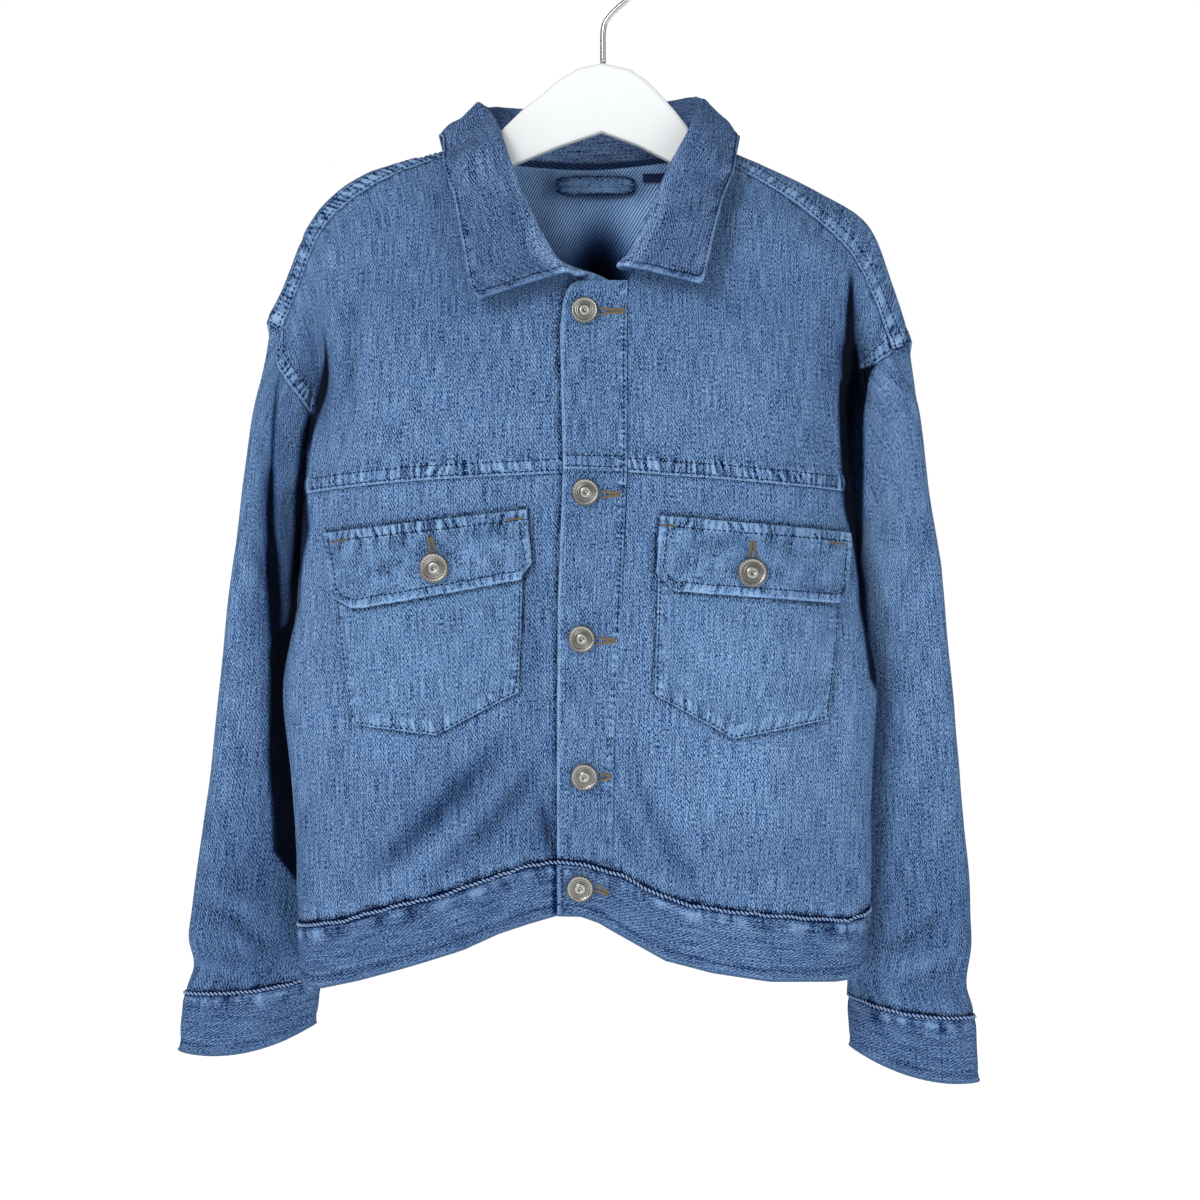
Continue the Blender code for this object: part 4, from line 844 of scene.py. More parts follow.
def makePlacket(chart, denim):
    heights = np.array([row[0] for row in placketLap])
    z = np.concatenate([np.linspace(heights[0], heights[3], placket["topRows"])[:-1],
                        np.linspace(heights[3], heights[-1], placket["rows"])])
    left, right = lapEdge(z, 1), lapEdge(z, 2)
    share = np.linspace(0, 1, placket["columns"] + 1)
    x = left[:, None] + (right - left)[:, None] * share
    z = np.repeat(z[:, None], len(share), axis=1)
    foot = np.interp(x[-1], [p[0] for p in waistArch], [p[1] for p in waistArch]) + placket["seam"]
    z = z + smooth((placket["foot"] - z) / -(heights[-1] - placket["foot"])) * (foot - heights[-1])
    y, _ = onMap(chart, np.minimum(x, right[:, None] - placket["short"] - 2), z)
    y = soften(y, placket["round"]) - placket["gap"] - placket["thick"] - placket["clear"]
    grid = np.stack([x, y, z], -1)
    e = edges(grid)
    edgeRow = {"rows": (placket["row"],), "bulk": placket["rowBulk"]}
    lift = (lapped(e, "first", 401, **edgeRow) + lapped(e, "last", 411, **edgeRow)
            + tucked(e, "bottom", 421, 0.5))
    lift += 0.35 * noise2(x / 9, z / 22, 431)
    seam = z - np.interp(x, placket["seamEnds"], placket["seamAt"])
    lift += (0.5 * smooth(seam / 1.2) * smooth((9.5 - seam) / 2.0)
             - 0.3 * sum(hill(seam - row, 0.8) for row in body["stitchRows"]))
    worn = 1.4 * hill(e["first"] - 0.4, 1.0) + 0.7 * hill(e["last"], 0.9) + 0.6 * hill(e["top"], 0.9)
    out = np.broadcast_to((0.0, -1.0, 0.0), grid.shape)
    shade = 0.8 * hill(e["bottom"], 1.6)
    gather = blotches(e, "last", 441, rows=(3.4,))
    across = blotches({"seam": np.where(seam > 0, seam, 99.0), "across": x}, "seam", 451)
    worn, shade = worn + 0.7 * gather[0] + 0.5 * across[0], shade + 0.7 * gather[1] + 0.5 * across[1]
    worn, shade = worn + 0.9 * hill(seam - 0.5, 0.8), shade + 0.9 * hill(seam + 0.9, 0.8)
    return cloth("placket_cloth", grid, out, placket["thick"], denim, lift, worn, shade,
                 patches(x, z, placket["tones"]), foot=True)


waistband = {
    "thick": 1.8, "rows": 26, "lapColumns": 20, "gap": 0.7, "lapFrom": -16.1,
    "underFrom": (170, 20),  # how far before its end, and up to which x, the covered end is shaded
    "tones": [(90, -575, 70, 30, 0.22)], "inside": -0.35,
}


def hemLine(front, columns):
    return archedTo(through(front["hem"], columns), hemArch)


def makeWaistband(fine, rough, denim):
    left, right, back = fine["left"][0], fine["right"][0], rough["back"][0]
    columns = body["columns"]
    leftTop, rightTop, backTop = left[-1], right[-1], back[-1]
    leftLow, rightLow = hemLine(leftFront, columns), hemLine(rightFront, columns)
    backLow = backLine("hem", body["backColumns"], body["neckColumns"])
    lapX = np.linspace(waistband["lapFrom"], leftTop[0, 0], waistband["lapColumns"] + 1)[:-1]
    depth = waistband["gap"] + waistband["thick"]

    def wholeRing(own, joins, rear, arch):
        # over the other end, easing back to the depth of its own front, then round the body
        line = own[::-1]
        y = np.minimum(np.interp(lapX, line[:, 0], line[:, 1]) - depth, joins[0, 1] + 0 * lapX)
        lap = np.stack([lapX, y, 0 * lapX], -1)
        return np.concatenate([archedTo(lap, arch), joins, rear[::-1][1:-1], line])

    top = wholeRing(rightTop, leftTop, backTop, waistArch)
    low = wholeRing(rightLow, leftLow, backLow, hemArch)
    share = np.linspace(0, 1, waistband["rows"] + 1)[:, None, None]
    grid = top + (low - top) * share
    e = edges(grid)
    s = e["across"]
    x = grid[..., 0]
    lift = -0.5 * hill(e["top"] - 4.0, 1.1) - 0.3 * hill(e["top"], 0.8)
    lift += 0.6 * noise1((s + 0.3 * e["top"]) / 7, 503) * hill(e["top"] - 8, 6)
    lift += 0.4 * hill(e["bottom"] - 1.5, 1.5) - 0.4 * hill(e["bottom"] - 6.5, 1.0)
    lift += 0.4 * noise1(s / 12, 505) * hill(e["bottom"] - 4, 9) + 0.35 * noise2(s / 22, e["top"] / 9, 506)
    lift -= 0.5 * hill(e["sides"], 0.9)
    patch = noise2(s / 7, e["top"] / 7, 507) * hill(e["top"] - 8, 4)
    streak = noise1(s / 2.6, 508) * hill(e["top"] - 6.5, 3.0)
    worn = 0.3 * hill(e["bottom"] - 1.2, 1.2) + 0.6 * highs(patch) + 1.5 * hill(e["first"] - 0.6, 0.9)
    worn += 0.25 * hill(e["top"] - 6.5, 3.0) + 0.5 * highs(streak)
    shade = 2.0 * smooth((3.4 - e["top"]) / 0.7) + 0.3 * hill(e["bottom"] - 6.5, 0.9) + 0.7 * highs(-streak)
    shade += 0.9 * highs(-patch) + 0.6 * hill(e["first"] - 2.6, 0.7)
    before, upTo = waistband["underFrom"]
    under = (s > s[:, -1:] - before) & (x < upTo)
    shade += 1.4 * under * hill(x - waistband["lapFrom"] + 0.8, 1.8)
    return cloth("waistband_cloth", grid, gridNormals(grid), waistband["thick"], denim, lift, worn, shade,
                 patches(x, grid[..., 2], waistband["tones"]), inside=waistband["inside"], warp="across")


# Each sleeve, level by level: z, x and y of its outer and inner folds, half depth and sag.
rightSleeve = {
    "cap": (-262, -354, -190.6, -167.2, -3, 12, 15, 0),
    "upper": (-312, -370, -198.8, -167.6, -2, 17, 18, 0),
    "upper arm": (-360, -390, -204.6, -169.2, 0, 22, 19, 0),
    "elbow": (-425, -432, -212, -173, 3, 27, 18, 0),
    "forearm": (-497, -497, -220.6, -167, 7, 28, 18, 0),
    "lower": (-556, -552, -228.8, -161, 10, 30, 17.5, 1),
    "fold above cuff": (-577, -571, -232, -158.5, 11, 30, 17, 2),
    "nip above cuff": (-593, -587, -228.6, -157, 12, 30, 15.5, 3),
    "cuff seam": (-608, -599.5, -233.4, -155.5, 12, 30, 16.5, 3),
    "cuff edge": (-643.5, -630, -237.4, -159.5, 12, 29, 15.5, 7.5),
}
leftSleeve = {
    "cap": (-268, -354, 193, 157.4, -3, 14, 15, 0),
    "upper": (-312, -370, 199, 157.6, -2, 18, 18, 0),
    "upper arm": (-360, -390, 205.4, 159.0, 0, 22, 19, 0),
    "elbow": (-425, -432, 212.4, 164.5, 3, 27, 18, 0),
    "forearm": (-497, -497, 219.2, 162.5, 7, 28, 18, 0),
    "lower": (-556, -556, 224.2, 156.5, 10, 30, 17.5, 1),
    "fold above cuff": (-580, -576, 225.6, 154.5, 11, 30, 17, 2),
    "nip above cuff": (-604, -597, 222.6, 153.5, 12, 30, 15.5, 3),
    "cuff seam": (-622, -611.5, 226.6, 154, 12, 30, 16.5, 4),
    "cuff edge": (-661.5, -643, 228.8, 155.2, 12, 29, 15.5, 6.5),
}

sleeve = {
    "fall": {"right": 3.6, "left": 2.0},  # how softly each inner side drops into the shade
    "tuck": (1.0, 1.3),  # the first ring lies this far inside the armhole and under its cloth
    "rows": (14, 20, 22, 30, 34, 28, 12, 10, 9),
    "snug": (1.1, -357, 14),  # pushed out to the body there: how far, z and half height
    "cuffRows": 28, "cuffAround": (66, 66), "cuffThick": 1.8, "cuffStands": 0.2,
}
# soft fades and painted shade, the lower sleeves darker: x, z, half width, half height, amount
sleeveTones = {
    "right": [(-200, -560, 40, 60, -0.40), (-196, -600, 40, 16, -0.15), (-176, -330, 5, 60, -0.2)],
    "left": [(205, -570, 40, 60, -0.32), (200, -608, 40, 16, -0.15), (176, -300, 12, 40, 0.08),
        (174, -365, 16, 60, 0.14)],
}
# where a sleeve drops into the shade beside the body: z, x
sleeveFall = {
    "right": [(-262, -156), (-268, -162), (-283, -166.4), (-297, -168.3), (-312, -170), (-340, -171.7),
        (-355, -173.4), (-370, -174), (-384, -174), (-394, -176), (-402, -182), (-412, -186.3), (-470, -187),
        (-485, -186), (-500, -184.5), (-527, -183.5), (-536, -177), (-545, -171), (-560, -160), (-580, -140)],
    "left": [(-255, 162.5), (-358, 162.5), (-371, 164.5), (-415, 167), (-460, 168), (-490, 165), (-505, 150)],
}
# painted shadow in folds: bent lines, width, amount
sleeveShades = {
    "right": [(-176.9, -246, -180, -280, -181.6, -330, 1.3, -0.9),
        (-181.8, -306, -181.8, -345, -180.4, -386, 2.6, -1.3),
        (-181, -350, -180.4, -385, -181, -414, 4.2, -1.4), (-184.5, -290, -187, -345, -188, -400, 4, -0.35)],
    "left": [],
}
# bent folds of the sleeves: x, z of three points, width, height
sleeveCreases = {
    "right": [(-196, -330, -192, -350, -178, -372, 6, -1.4), (-200, -350, -190, -372, -176, -392, 6, 1.4),
        (-206, -400, -206, -440, -200, -480, 7, -1.2), (-190, -400, -186, -430, -188, -470, 7, 1.1),
        (-210, -560, -196, -574, -180, -586, 6, -1.8), (-222, -545, -206, -556, -186, -560, 7, 1.6),
        (-224, -590, -204, -596, -186, -592, 5, 1.4)],
    "left": [(200, -330, 194, -352, 180, -376, 6, -1.4), (206, -352, 196, -376, 182, -398, 6, 1.4),
        (210, -410, 206, -450, 200, -490, 7, -1.2), (190, -400, 188, -440, 190, -476, 7, 1.1),
        (208, -560, 190, -576, 172, -584, 6, -1.8), (216, -580, 200, -590, 176, -598, 6, 1.6)],
    "back": {
        "right": [(-215, -420, -200, -432, -180, -438, 7, -1.6),
            (-216, -440, -200, -452, -180, -460, 8, 1.4), (-224, -560, -200, -572, -172, -580, 7, -1.5)],
        "left": [(215, -415, 200, -430, 180, -440, 7, -1.6), (216, -438, 200, -452, 180, -458, 8, 1.4),
            (220, -566, 198, -578, 166, -584, 7, -1.5)],
    },
}


def sleeveRing(row, frontCount, backCount):
    # an oval between the outer and inner folds, front half first: cosine across, sine deep
    outerZ, innerZ, outerX, innerX, outerY, innerY, depth, sag = row
    angles = np.concatenate([np.linspace(0, pi, frontCount + 1)[:-1],
                             np.linspace(pi, 2 * pi, backCount + 1)[:-1]])
    share = (1 + np.cos(angles)) / 2
    return np.stack([innerX + (outerX - innerX) * share,
                     innerY + (outerY - innerY) * share - depth * np.sin(angles),
                     innerZ + (outerZ - innerZ) * share - sag * np.sin(angles) ** 2], -1)


def armholeLoop(fine, rough, side, which):
    # from the shoulder down the front and up the back, every second point
    front = fine[side][which][:, -1]
    back = rough["back"][which][:, 0 if side == "right" else -1]
    down = sum(body["yokeSteps"]) + body["lowerSteps"][0]
    up = sum(body["topSteps"])
    return np.concatenate([front[:down:2], back[1:up + 1][::-1][::2]]), (down + 1) // 2, (up + 1) // 2


def makeSleeve(fine, rough, side, table, denim):
    sign = -1 if side == "right" else 1
    first, down, up = armholeLoop(fine, rough, side, 0)
    firstOut = armholeLoop(fine, rough, side, 1)[0]
    inward, under = sleeve["tuck"]
    first = first - (sign * inward, 0.0, -inward / 2) - firstOut * under
    rings = [sleeveRing(row, down, up) for row in table.values()]
    grid = through(np.stack([first] + rings), sleeve["rows"] + (2,))[:-2]
    out = gridNormals(grid, ring=True) * -sign
    runsOn = np.sum(out[0] * firstOut, axis=-1, keepdims=True) > body["meet"]
    out[0] = np.where(runsOn, firstOut, out[0])
    e = edges(grid)
    x, z = grid[..., 0], grid[..., 2]
    front, rear = smooth(-out[..., 1] * 2.2), smooth(out[..., 1] * 2.2)
    seed = 600 if side == "right" else 650
    around = e["across"] / e["across"][:, -1:]
    # the gathers are measured both ways from the outer fold
    e["across"] = e["across"] - (np.arange(grid.shape[1]) > down) * e["across"][:, -1:]
    lift = 0.6 * noise2(x / 17, z / 48, seed) + 0.5 * noise2(x / 9, z / 30, seed + 1)
    lift += 0.5 * noise2(around * 14, z / 34, seed + 2)
    lift *= smooth(e["top"] / 14) * smooth(e["bottom"] / 4)
    lift += front * creases(x, z, sleeveCreases[side]) + rear * creases(x, z, sleeveCreases["back"][side])
    push, level, tall = sleeve["snug"]
    lift += push * hill(z - level, tall) * smooth(-sign * out[..., 0])
    lift += tucked(e, "top", seed + 3, 0.7) * smooth(e["top"] / 3)
    lift += tucked(e, "bottom", seed + 4, 0.9)
    shade = 0.8 * hill(e["top"], 1.6) + 1.2 * hill(e["bottom"] - 0.5, 1.3)
    tone = (patches(x, z, sleeveTones[side]) + creases(x, z, sleeveShades[side])) * smooth(
        0.5 - out[..., 1] * 1.5)
    past = beyond(-sign * x, z, [(level, -sign * at) for level, at in sleeveFall[side]], sleeve["fall"][side])
    tone = np.maximum(tone - past, body["darkest"])
    return cloth("sleeve_" + side + "_cloth", grid, out, body["cloth"], denim, lift, 0.0, shade, tone,
                 ring=down, flip=sign > 0, foot=True)


def makeCuff(side, table, denim):
    sign = -1 if side == "right" else 1
    seed = 600 if side == "right" else 650
    rings = [sleeveRing(row, *sleeve["cuffAround"]) for row in list(table.values())[-3:]]
    grid = through(np.stack(rings), (6, sleeve["cuffRows"]))[6:]
    out = gridNormals(grid, ring=True) * -sign
    e = edges(grid)
    s = e["across"]
    edge = hill(e["bottom"] - 1.3, 1.5)
    lift = -0.4 * hill(e["top"] - 3.8, 1.1) - 0.2 * hill(e["top"], 0.8) + 0.4 * edge
    lift += 0.55 * noise1((s + 0.4 * e["top"]) / 6, seed + 6) * hill(e["top"] - 7, 6)
    lift += 0.4 * noise2(s / 13, e["top"] / 10, seed + 7) - 0.35 * hill(e["bottom"] - 6.0, 1.0)
    patch = noise2(s / 6, e["top"] / 6, seed + 8) * hill(e["top"] - 7, 3.5)
    streak = noise1(s / 2.6, seed + 9) * hill(e["top"] - 5.6, 2.6)
    worn = 0.3 * edge + 0.6 * highs(patch) + 0.4 * hill(e["top"] - 5.6, 1.6) + 0.5 * highs(streak)
    shade = 2.0 * smooth((3.0 - e["top"]) / 0.7) + 0.9 * highs(-patch) + 0.7 * highs(-streak)
    return cloth("cuff_" + side + "_cloth", grid, out, sleeve["cuffThick"], denim,
                 lift + sleeve["cuffStands"], worn, shade, ring=sleeve["cuffAround"][0], flip=sign > 0,
                 warp="across")


# Each side of the collar: where it folds over and where its leaf ends, from the front or the nape.
rightCollar = {
    "front end": ((-6.4, -53, -197.2), (-61.2, -58, -214.8)),
    "throat": ((-15.5, -47, -188.1), (-66, -56, -207)),
    "lower break": ((-24.2, -39, -174.2), (-69.5, -53, -192)),
    "middle break": ((-33.2, -30, -154.3), (-73, -46, -174)),
    "upper break": ((-42.3, -20, -132.5), (-76.5, -36, -155)),
    "neck side": ((-49.5, -10, -108.1), (-80.5, -22, -137)),
    "shoulder": ((-54.5, 9, -97.5), (-80.5, 1, -118.5)),
    "behind shoulder": ((-48.5, 29, -91.5), (-76, 28, -137)),
    "nape": ((-28, 39, -90.8), (-45, 50, -146)),
}
leftCollar = {
    "nape": ((38, 38, -87.5), (52, 49, -145)),
    "behind shoulder": ((57, 26, -86.5), (80.5, 27, -136)),
    "shoulder": ((63.5, 8, -90.5), (84.5, 1, -118)),
    "neck side": ((60.5, -11, -106.4), (85, -22, -137)),
    "upper break": ((49.5, -20, -129.6), (80, -36, -155)),
    "middle break": ((39.7, -30, -151.4), (76, -46, -171)),
    "lower break": ((32.2, -39, -170.2), (72.5, -53, -186)),
    "throat": ((25, -47, -185.3), (69.5, -56, -198)),
    "front end": ((16.7, -53, -193.8), (66.6, -58, -206.7)),
}

collar = {
    "thick": 1.6, "roll": 5.6, "clear": 1.0, "footLift": 2.4,
    "stop": (1.0, -195),  # the stand ends past this x below this z
    "centreBack": ((5.0, 42, -88.6), (5.0, 54, -148.0)),
    "steps": (3, 2, 2, 3), "finer": (4, 3, 3, 9), "along": 9,
    "edgeRow": 2.1, "endRow": 4.0,  # topstitching, from the outer edge and from the front ends
    "stand": (27, 8, 60, 1.1),  # painted light on the stand behind the neck: down to, over, half width, amount
    "tones": [(-62, -145, 24, 26, 0.3), (64, -150, 20, 30, 0.06)], "inside": -0.3,
}

seat = {"reach": 30, "tries": 3, "every": 3}  # a leaf set on cloth no farther off than its reach


def seatOn(tree, point, clearance):
    # a control point pushed out along the nearest face until it clears it
    spot = Vector(point)
    for _ in range(seat["tries"]):
        near, normal, _, distance = tree.find_nearest(spot)
        ahead = (spot - near).dot(normal)
        if distance > seat["reach"] or ahead >= clearance:
            break
        spot = spot + normal * (clearance - ahead)
    return np.array(spot)


def treeOf(rows, flip):
    # a search tree over some of a surface's points
    rows = rows[::seat["every"], ::seat["every"]]
    if flip:
        rows = rows[:, ::-1]
    count = rows.shape[:2]
    i, j = np.meshgrid(np.arange(count[0] - 1), np.arange(count[1] - 1), indexing="ij")
    a = (i * count[1] + j).ravel()
    quads = np.stack([a, a + count[1], a + count[1] + 1, a + 1], -1)
    return BVHTree.FromPolygons(rows.reshape(-1, 3).tolist(), quads.tolist())


def neckLine(fine, rough):
    corner = sum(body["yokeSteps"][:4])
    right, left, back = fine["right"][0], fine["left"][0], rough["back"][0]
    side = sum(body["backColumns"])
    neck = np.concatenate([right[corner:0:-1, 0], back[0, side:-side], left[0:corner + 1, 0]])
    x, z = collar["stop"]
    return neck[(neck[:, 0] < x) | (neck[:, 2] > z)]


def collarGrid(neck, finer, along):
    rolls = list(rightCollar.values()) + [collar["centreBack"]] + list(leftCollar.values())
    counts = [2 * along] * (len(rolls) - 1)
    folds = through([roll[0] for roll in rolls], counts)
    leaves = through([roll[1] for roll in rolls], counts)
    lengths, run = runAlong(neck), runAlong(folds)
    feet = readAt(run / run[-1] * lengths[-1], lengths, neck)
    fall = unit(leaves - folds)
    away = unit(np.cross(unit(np.gradient(folds, axis=0)), fall))
    feet = feet + unit(folds - feet) * collar["footLift"]
    rise = collar["roll"] / 2
    keys = np.stack([feet, folds + unit(feet - folds) * rise, folds + away * rise,
                     folds + away * 2 * rise + fall * rise, leaves + away * 2 * rise])
    grid = through(keys, tuple(n * k for n, k in zip(collar["steps"], finer)))
    facing = gridNormals(grid)
    return grid, facing * np.sign(np.sum(facing[-1] * away))


def makeCollar(fine, rough, trees, denim):
    # seated on the fronts and back as a coarse net, then curved through both ways
    neck = neckLine(fine, rough)
    plain, facing = collarGrid(neck, (1, 1, 1, 1), 1)
    inner = plain - facing * collar["thick"]
    push = np.zeros_like(plain)
    for i in range(sum(collar["steps"][:3]), plain.shape[0]):
        for j in range(plain.shape[1]):
            spot = inner[i, j]
            for tree in trees:
                spot = seatOn(tree, spot, collar["clear"])
            push[i, j] = spot - inner[i, j]
    finer = [k for n, k in zip(collar["steps"], collar["finer"]) for _ in range(n)]
    grid = through(plain + push, finer)
    grid = through(grid.transpose(1, 0, 2), [collar["along"]] * (plain.shape[1] - 1)).transpose(1, 0, 2)
    grid = np.stack([soften(grid[..., k], 6) for k in range(3)], -1)
    facing = gridNormals(grid)
    facing *= np.sign(np.sum(facing[-1] * (grid[-1] - grid[0])))
    e = edges(grid)
    s, ends = e["across"], e["sides"]
    edge = np.minimum(ends - collar["endRow"] + collar["edgeRow"], e["bottom"])
    lift = 0.30 * noise2(s / 15, e["down"] / 11, 701) + 0.14 * noise2(s / 7, e["down"] / 6, 702)
    lift += 0.5 * noise1((s + 0.2 * e["bottom"]) / 4.6, 703) * hill(e["bottom"] - 4, 4)
    lift += 0.5 * noise1(e["down"] / 4.0, 704) * hill(ends - 4, 5)
    lift += 0.45 * hill(edge - 0.8, 1.1) - 0.45 * hill(edge - collar["edgeRow"], 0.7)
    lift -= 0.5 * hill(e["rim"], 0.5)
    gather = (noise1(s / 2.4, 705) * hill(e["bottom"] - 3.5, 2.6)
              + noise1(e["down"] / 2.4, 706) * hill(ends - 3.5, 3.5))
    cloud = noise2(s / 24, e["down"] / 12, 707)
    worn = 0.9 * hill(e["rim"] - 0.5, 0.8) + 0.8 * highs(gather) + 0.15 * highs(cloud)
    shade = 0.5 * hill(edge - collar["edgeRow"], 0.7) + 0.8 * highs(-gather) + 0.15 * highs(-cloud)
    x, z = grid[..., 0], grid[..., 2]
    downTo, over, wide, amount = collar["stand"]
    # painted light on the stand behind the neck
    stand = smooth((downTo - e["down"]) / over) * hill(x, wide)
    return cloth("collar_cloth", grid, facing, collar["thick"], denim, lift, worn, shade,
                 patches(x, z, collar["tones"]) + amount * stand, inside=collar["inside"], flip=True,
                 warp="across", start=s.mean(axis=0) - s)


pockets = {
    "gap": 1.1, "thick": 1.2, "rows": (22, 60), "columns": 72, "row": 1.5,
    "tones": {"right": [(-110, -420, 20, 30, 0.06)], "left": [(84, -415, 34, 24, 0.16)]},
    "right": {"top": ((-141.2, -354.0), (-34.5, -341.5)), "side": ((-140.8, -380.0), (-35.2, -371.4)),
              "foot": ((-131.6, -451.0), (-84.1, -456.9), (-37.8, -432.7))},
    "left": {"top": ((40.2, -345.0), (144.0, -354.0)), "side": ((40.6, -372.6), (143.9, -383.6)),
             "foot": ((39.2, -434.2), (83.8, -458.9), (136.6, -448.4))},
}
flaps = {
    "thick": 1.6, "over": 1.9, "lift": 1.2, "rows": 40, "columns": 96,
    "row": 5.2, "topRow": 6.4,  # topstitching, from the sides and foot and from the top
    "tones": {"right": [(-141, -352, 5, 8, -0.35), (-127, -354, 7, 8, 0.15), (-146, -368, 3, 8, 0.2),
                        (-66, -360, 7, 9, 0.2), (-57, -341, 6, 5, -0.3), (-48, -353, 5, 8, 0.2),
                        (-88, -350, 10, 5, -0.25), (-100, -372, 24, 5, 0.15)],
              "left": [(48, -350, 6, 9, 0.2), (112, -348, 12, 6, -0.25), (86, -348, 12, 6, -0.2),
                       (134, -354, 5, 8, 0.2), (122, -376, 14, 5, -0.2), (66, -366, 14, 6, 0.12)]},
    "right": {"top": ((-148.1, -342.3), (-33.0, -329.4)),
              "foot": [(0, -140.2, -379.5), (0.09, -130.0, -385.5), (0.15, -123.2, -385.3),
                       (0.94, -36.5, -369.4), (1, -29.8, -359.6)]},
    "left": {"top": ((42.0, -332.8), (150.0, -341.9)),
             "foot": [(0, 39.6, -365.0), (0.08, 49.5, -376.0), (0.93, 140.3, -382.7), (1, 146.0, -375.5)]},
}


def makePocket(side, chart, denim):
    # a patch whose foot runs down to a point: head, side and foot lines, a curve down each column
    shape = pockets[side]
    (topA, topB), (sideA, sideB), (footA, tip, footB) = (
        np.array(shape[key], float) for key in ("top", "side", "foot"))
    tipAt = (tip[0] - footA[0]) / (footB[0] - footA[0])
    split = int(round(pockets["columns"] * tipAt))
    share = np.concatenate([np.linspace(0, tipAt, split + 1),
                            np.linspace(tipAt, 1, pockets["columns"] + 1 - split)[1:]])[:, None]
    foot = np.where(share < tipAt, footA + (tip - footA) * share / tipAt,
                    tip + (footB - tip) * (share - tipAt) / (1 - tipAt))
    flat = through(np.stack([topA + (topB - topA) * share, sideA + (sideB - sideA) * share, foot]),
                   pockets["rows"])
    x, z = flat[..., 0], flat[..., 1]
    y, out = onMap(chart, x, z)
    grid = np.stack([x, y, z], -1) + out * (pockets["gap"] + pockets["thick"])
    e = edges(grid)
    seed = 801 if side == "right" else 851
    edge, across = e["rim"], e["sides"]
    lift = 0.45 * smooth((9.5 - edge) / 2.0) - 0.5 * hill(edge, 0.7) - 0.35 * hill(edge - 2.0, 0.8)
    lift += 0.5 * noise1(e["across"] / 5.0, seed) * hill(e["bottom"] - 4, 6)
    lift += 0.4 * noise1(e["down"] / 5.0, seed + 1) * hill(across - 4, 6)
    lift += 0.35 * noise2(x / 16, z / 22, seed + 2) + 0.2 * noise2(x / 7, z / 8, seed + 3)
    foot = blotches(e, "bottom", seed + 4, rows=(7.0,))
    sides = blotches(e, "sides", seed + 5, rows=(5.0,))
    worn = 0.7 * hill(edge - 0.6, 0.9) + 0.8 * foot[0] + 0.5 * sides[0]
    shade = 0.7 * foot[1] + 0.5 * sides[1] + 0.8 * hill(outlineGap(x, z, flapOutline(side)), 2.0)
    return cloth("pocket_" + side + "_cloth", grid, out, pockets["thick"], denim, lift, worn, shade,
                 patches(x, z, pockets["tones"][side]), start=x[:, :1])


def makeFlap(side, chart, denim):
    # straight lines from the top edge down to a foot with clipped corners
    shape = flaps[side]
    headA, headB = (np.array(point, float) for point in shape["top"])
    foot = np.array(shape["foot"], float)
    share = np.union1d(foot[:, 0], np.linspace(0, 1, flaps["columns"]))
    head = headA + (headB - headA) * share[:, None]
    low = np.stack([np.interp(share, foot[:, 0], foot[:, k]) for k in (1, 2)], -1)
    t = np.linspace(0, 1, flaps["rows"] + 1)[:, None, None]
    flat = head + (low - head) * t
    x, z = flat[..., 0], flat[..., 1]
    y, out = onMap(chart, x, z)
    rise = pockets["gap"] + flaps["over"] * np.minimum(1, t[..., 0] * 4) + flaps["lift"] * t[..., 0]
    grid = np.stack([x, y, z], -1) + out * (rise + flaps["thick"])[..., None]
    e = edges(grid)
    seed = 901 if side == "right" else 951
    edge, across = e["rim"], e["sides"]
    lift = 0.3 * smooth((6.6 - edge) / 2.0) - 0.5 * hill(np.minimum(edge, e["top"]), 0.7)
    lift -= 0.35 * hill(edge - flaps["row"], 0.8)
    lift += 0.5 * noise1(e["across"] / 3.6, seed) * hill(e["bottom"] - 3, 4)
    lift += 0.45 * noise1(e["down"] / 3.6, seed + 1) * hill(across - 3, 4)
    lift += lapped(e, "top", seed + 2, rows=(flaps["topRow"],), bulk=0.35, pucker=0.35)
    lift += 0.25 * noise2(x / 11, z / 9, seed + 3)
    head = blotches(e, "top", seed + 2, rows=(flaps["topRow"],))
    foot = blotches(e, "bottom", seed + 4, rows=(flaps["row"],))
    sides = blotches(e, "sides", seed + 5, rows=(flaps["row"],))
    # dye kept in the folds that run down from the head, and soft clouds between them
    folds = noise1(e["across"] / 3.0 + 0.5 * noise1(e["top"] / 6, seed + 6), seed + 7) * hill(e["top"] - 7, 6.5)
    cloud = noise2(x / 7, z / 5, seed + 8) + 0.6 * noise2(x / 3.2, z / 5, seed + 9)
    worn = 1.1 * hill(edge - 0.5, 0.8) + 0.5 * hill(e["top"] - 0.8, 1.0)
    worn += 1.3 * head[0] + 0.9 * foot[0] + 0.8 * sides[0] + 0.7 * highs(folds) + 0.38 * highs(cloud)
    shade = 1.5 * head[1] + 0.9 * foot[1] + 0.8 * sides[1] + 0.9 * hill(e["top"], 0.5)
    shade += 0.9 * highs(-folds) + 0.38 * highs(-cloud)
    middle = smooth((edge - 5) / 4) * smooth((e["top"] - 6) / 4)
    return cloth("flap_" + side + "_cloth", grid, out, flaps["thick"], denim, lift, worn, shade,
                 patches(x, z, flaps["tones"][side]) - 0.06 * middle, start=x[:, :1])


neckStrips = {
    "loop": {"left": -17.5, "right": 28.5, "top": -130.5, "bottom": -141.5, "bow": 2.0, "thick": 1.2},
    "label": {"left": 33.5, "right": 47.5, "top": -129.5, "bottom": -134.5, "bow": 0.0, "thick": 1.0},
    "gap": 0.7, "clear": 0.6, "points": (13, 41),
    "tube": 1.7, "drawIn": 0.4,  # the loop is a stuffed tube, its ends drawn in round
}


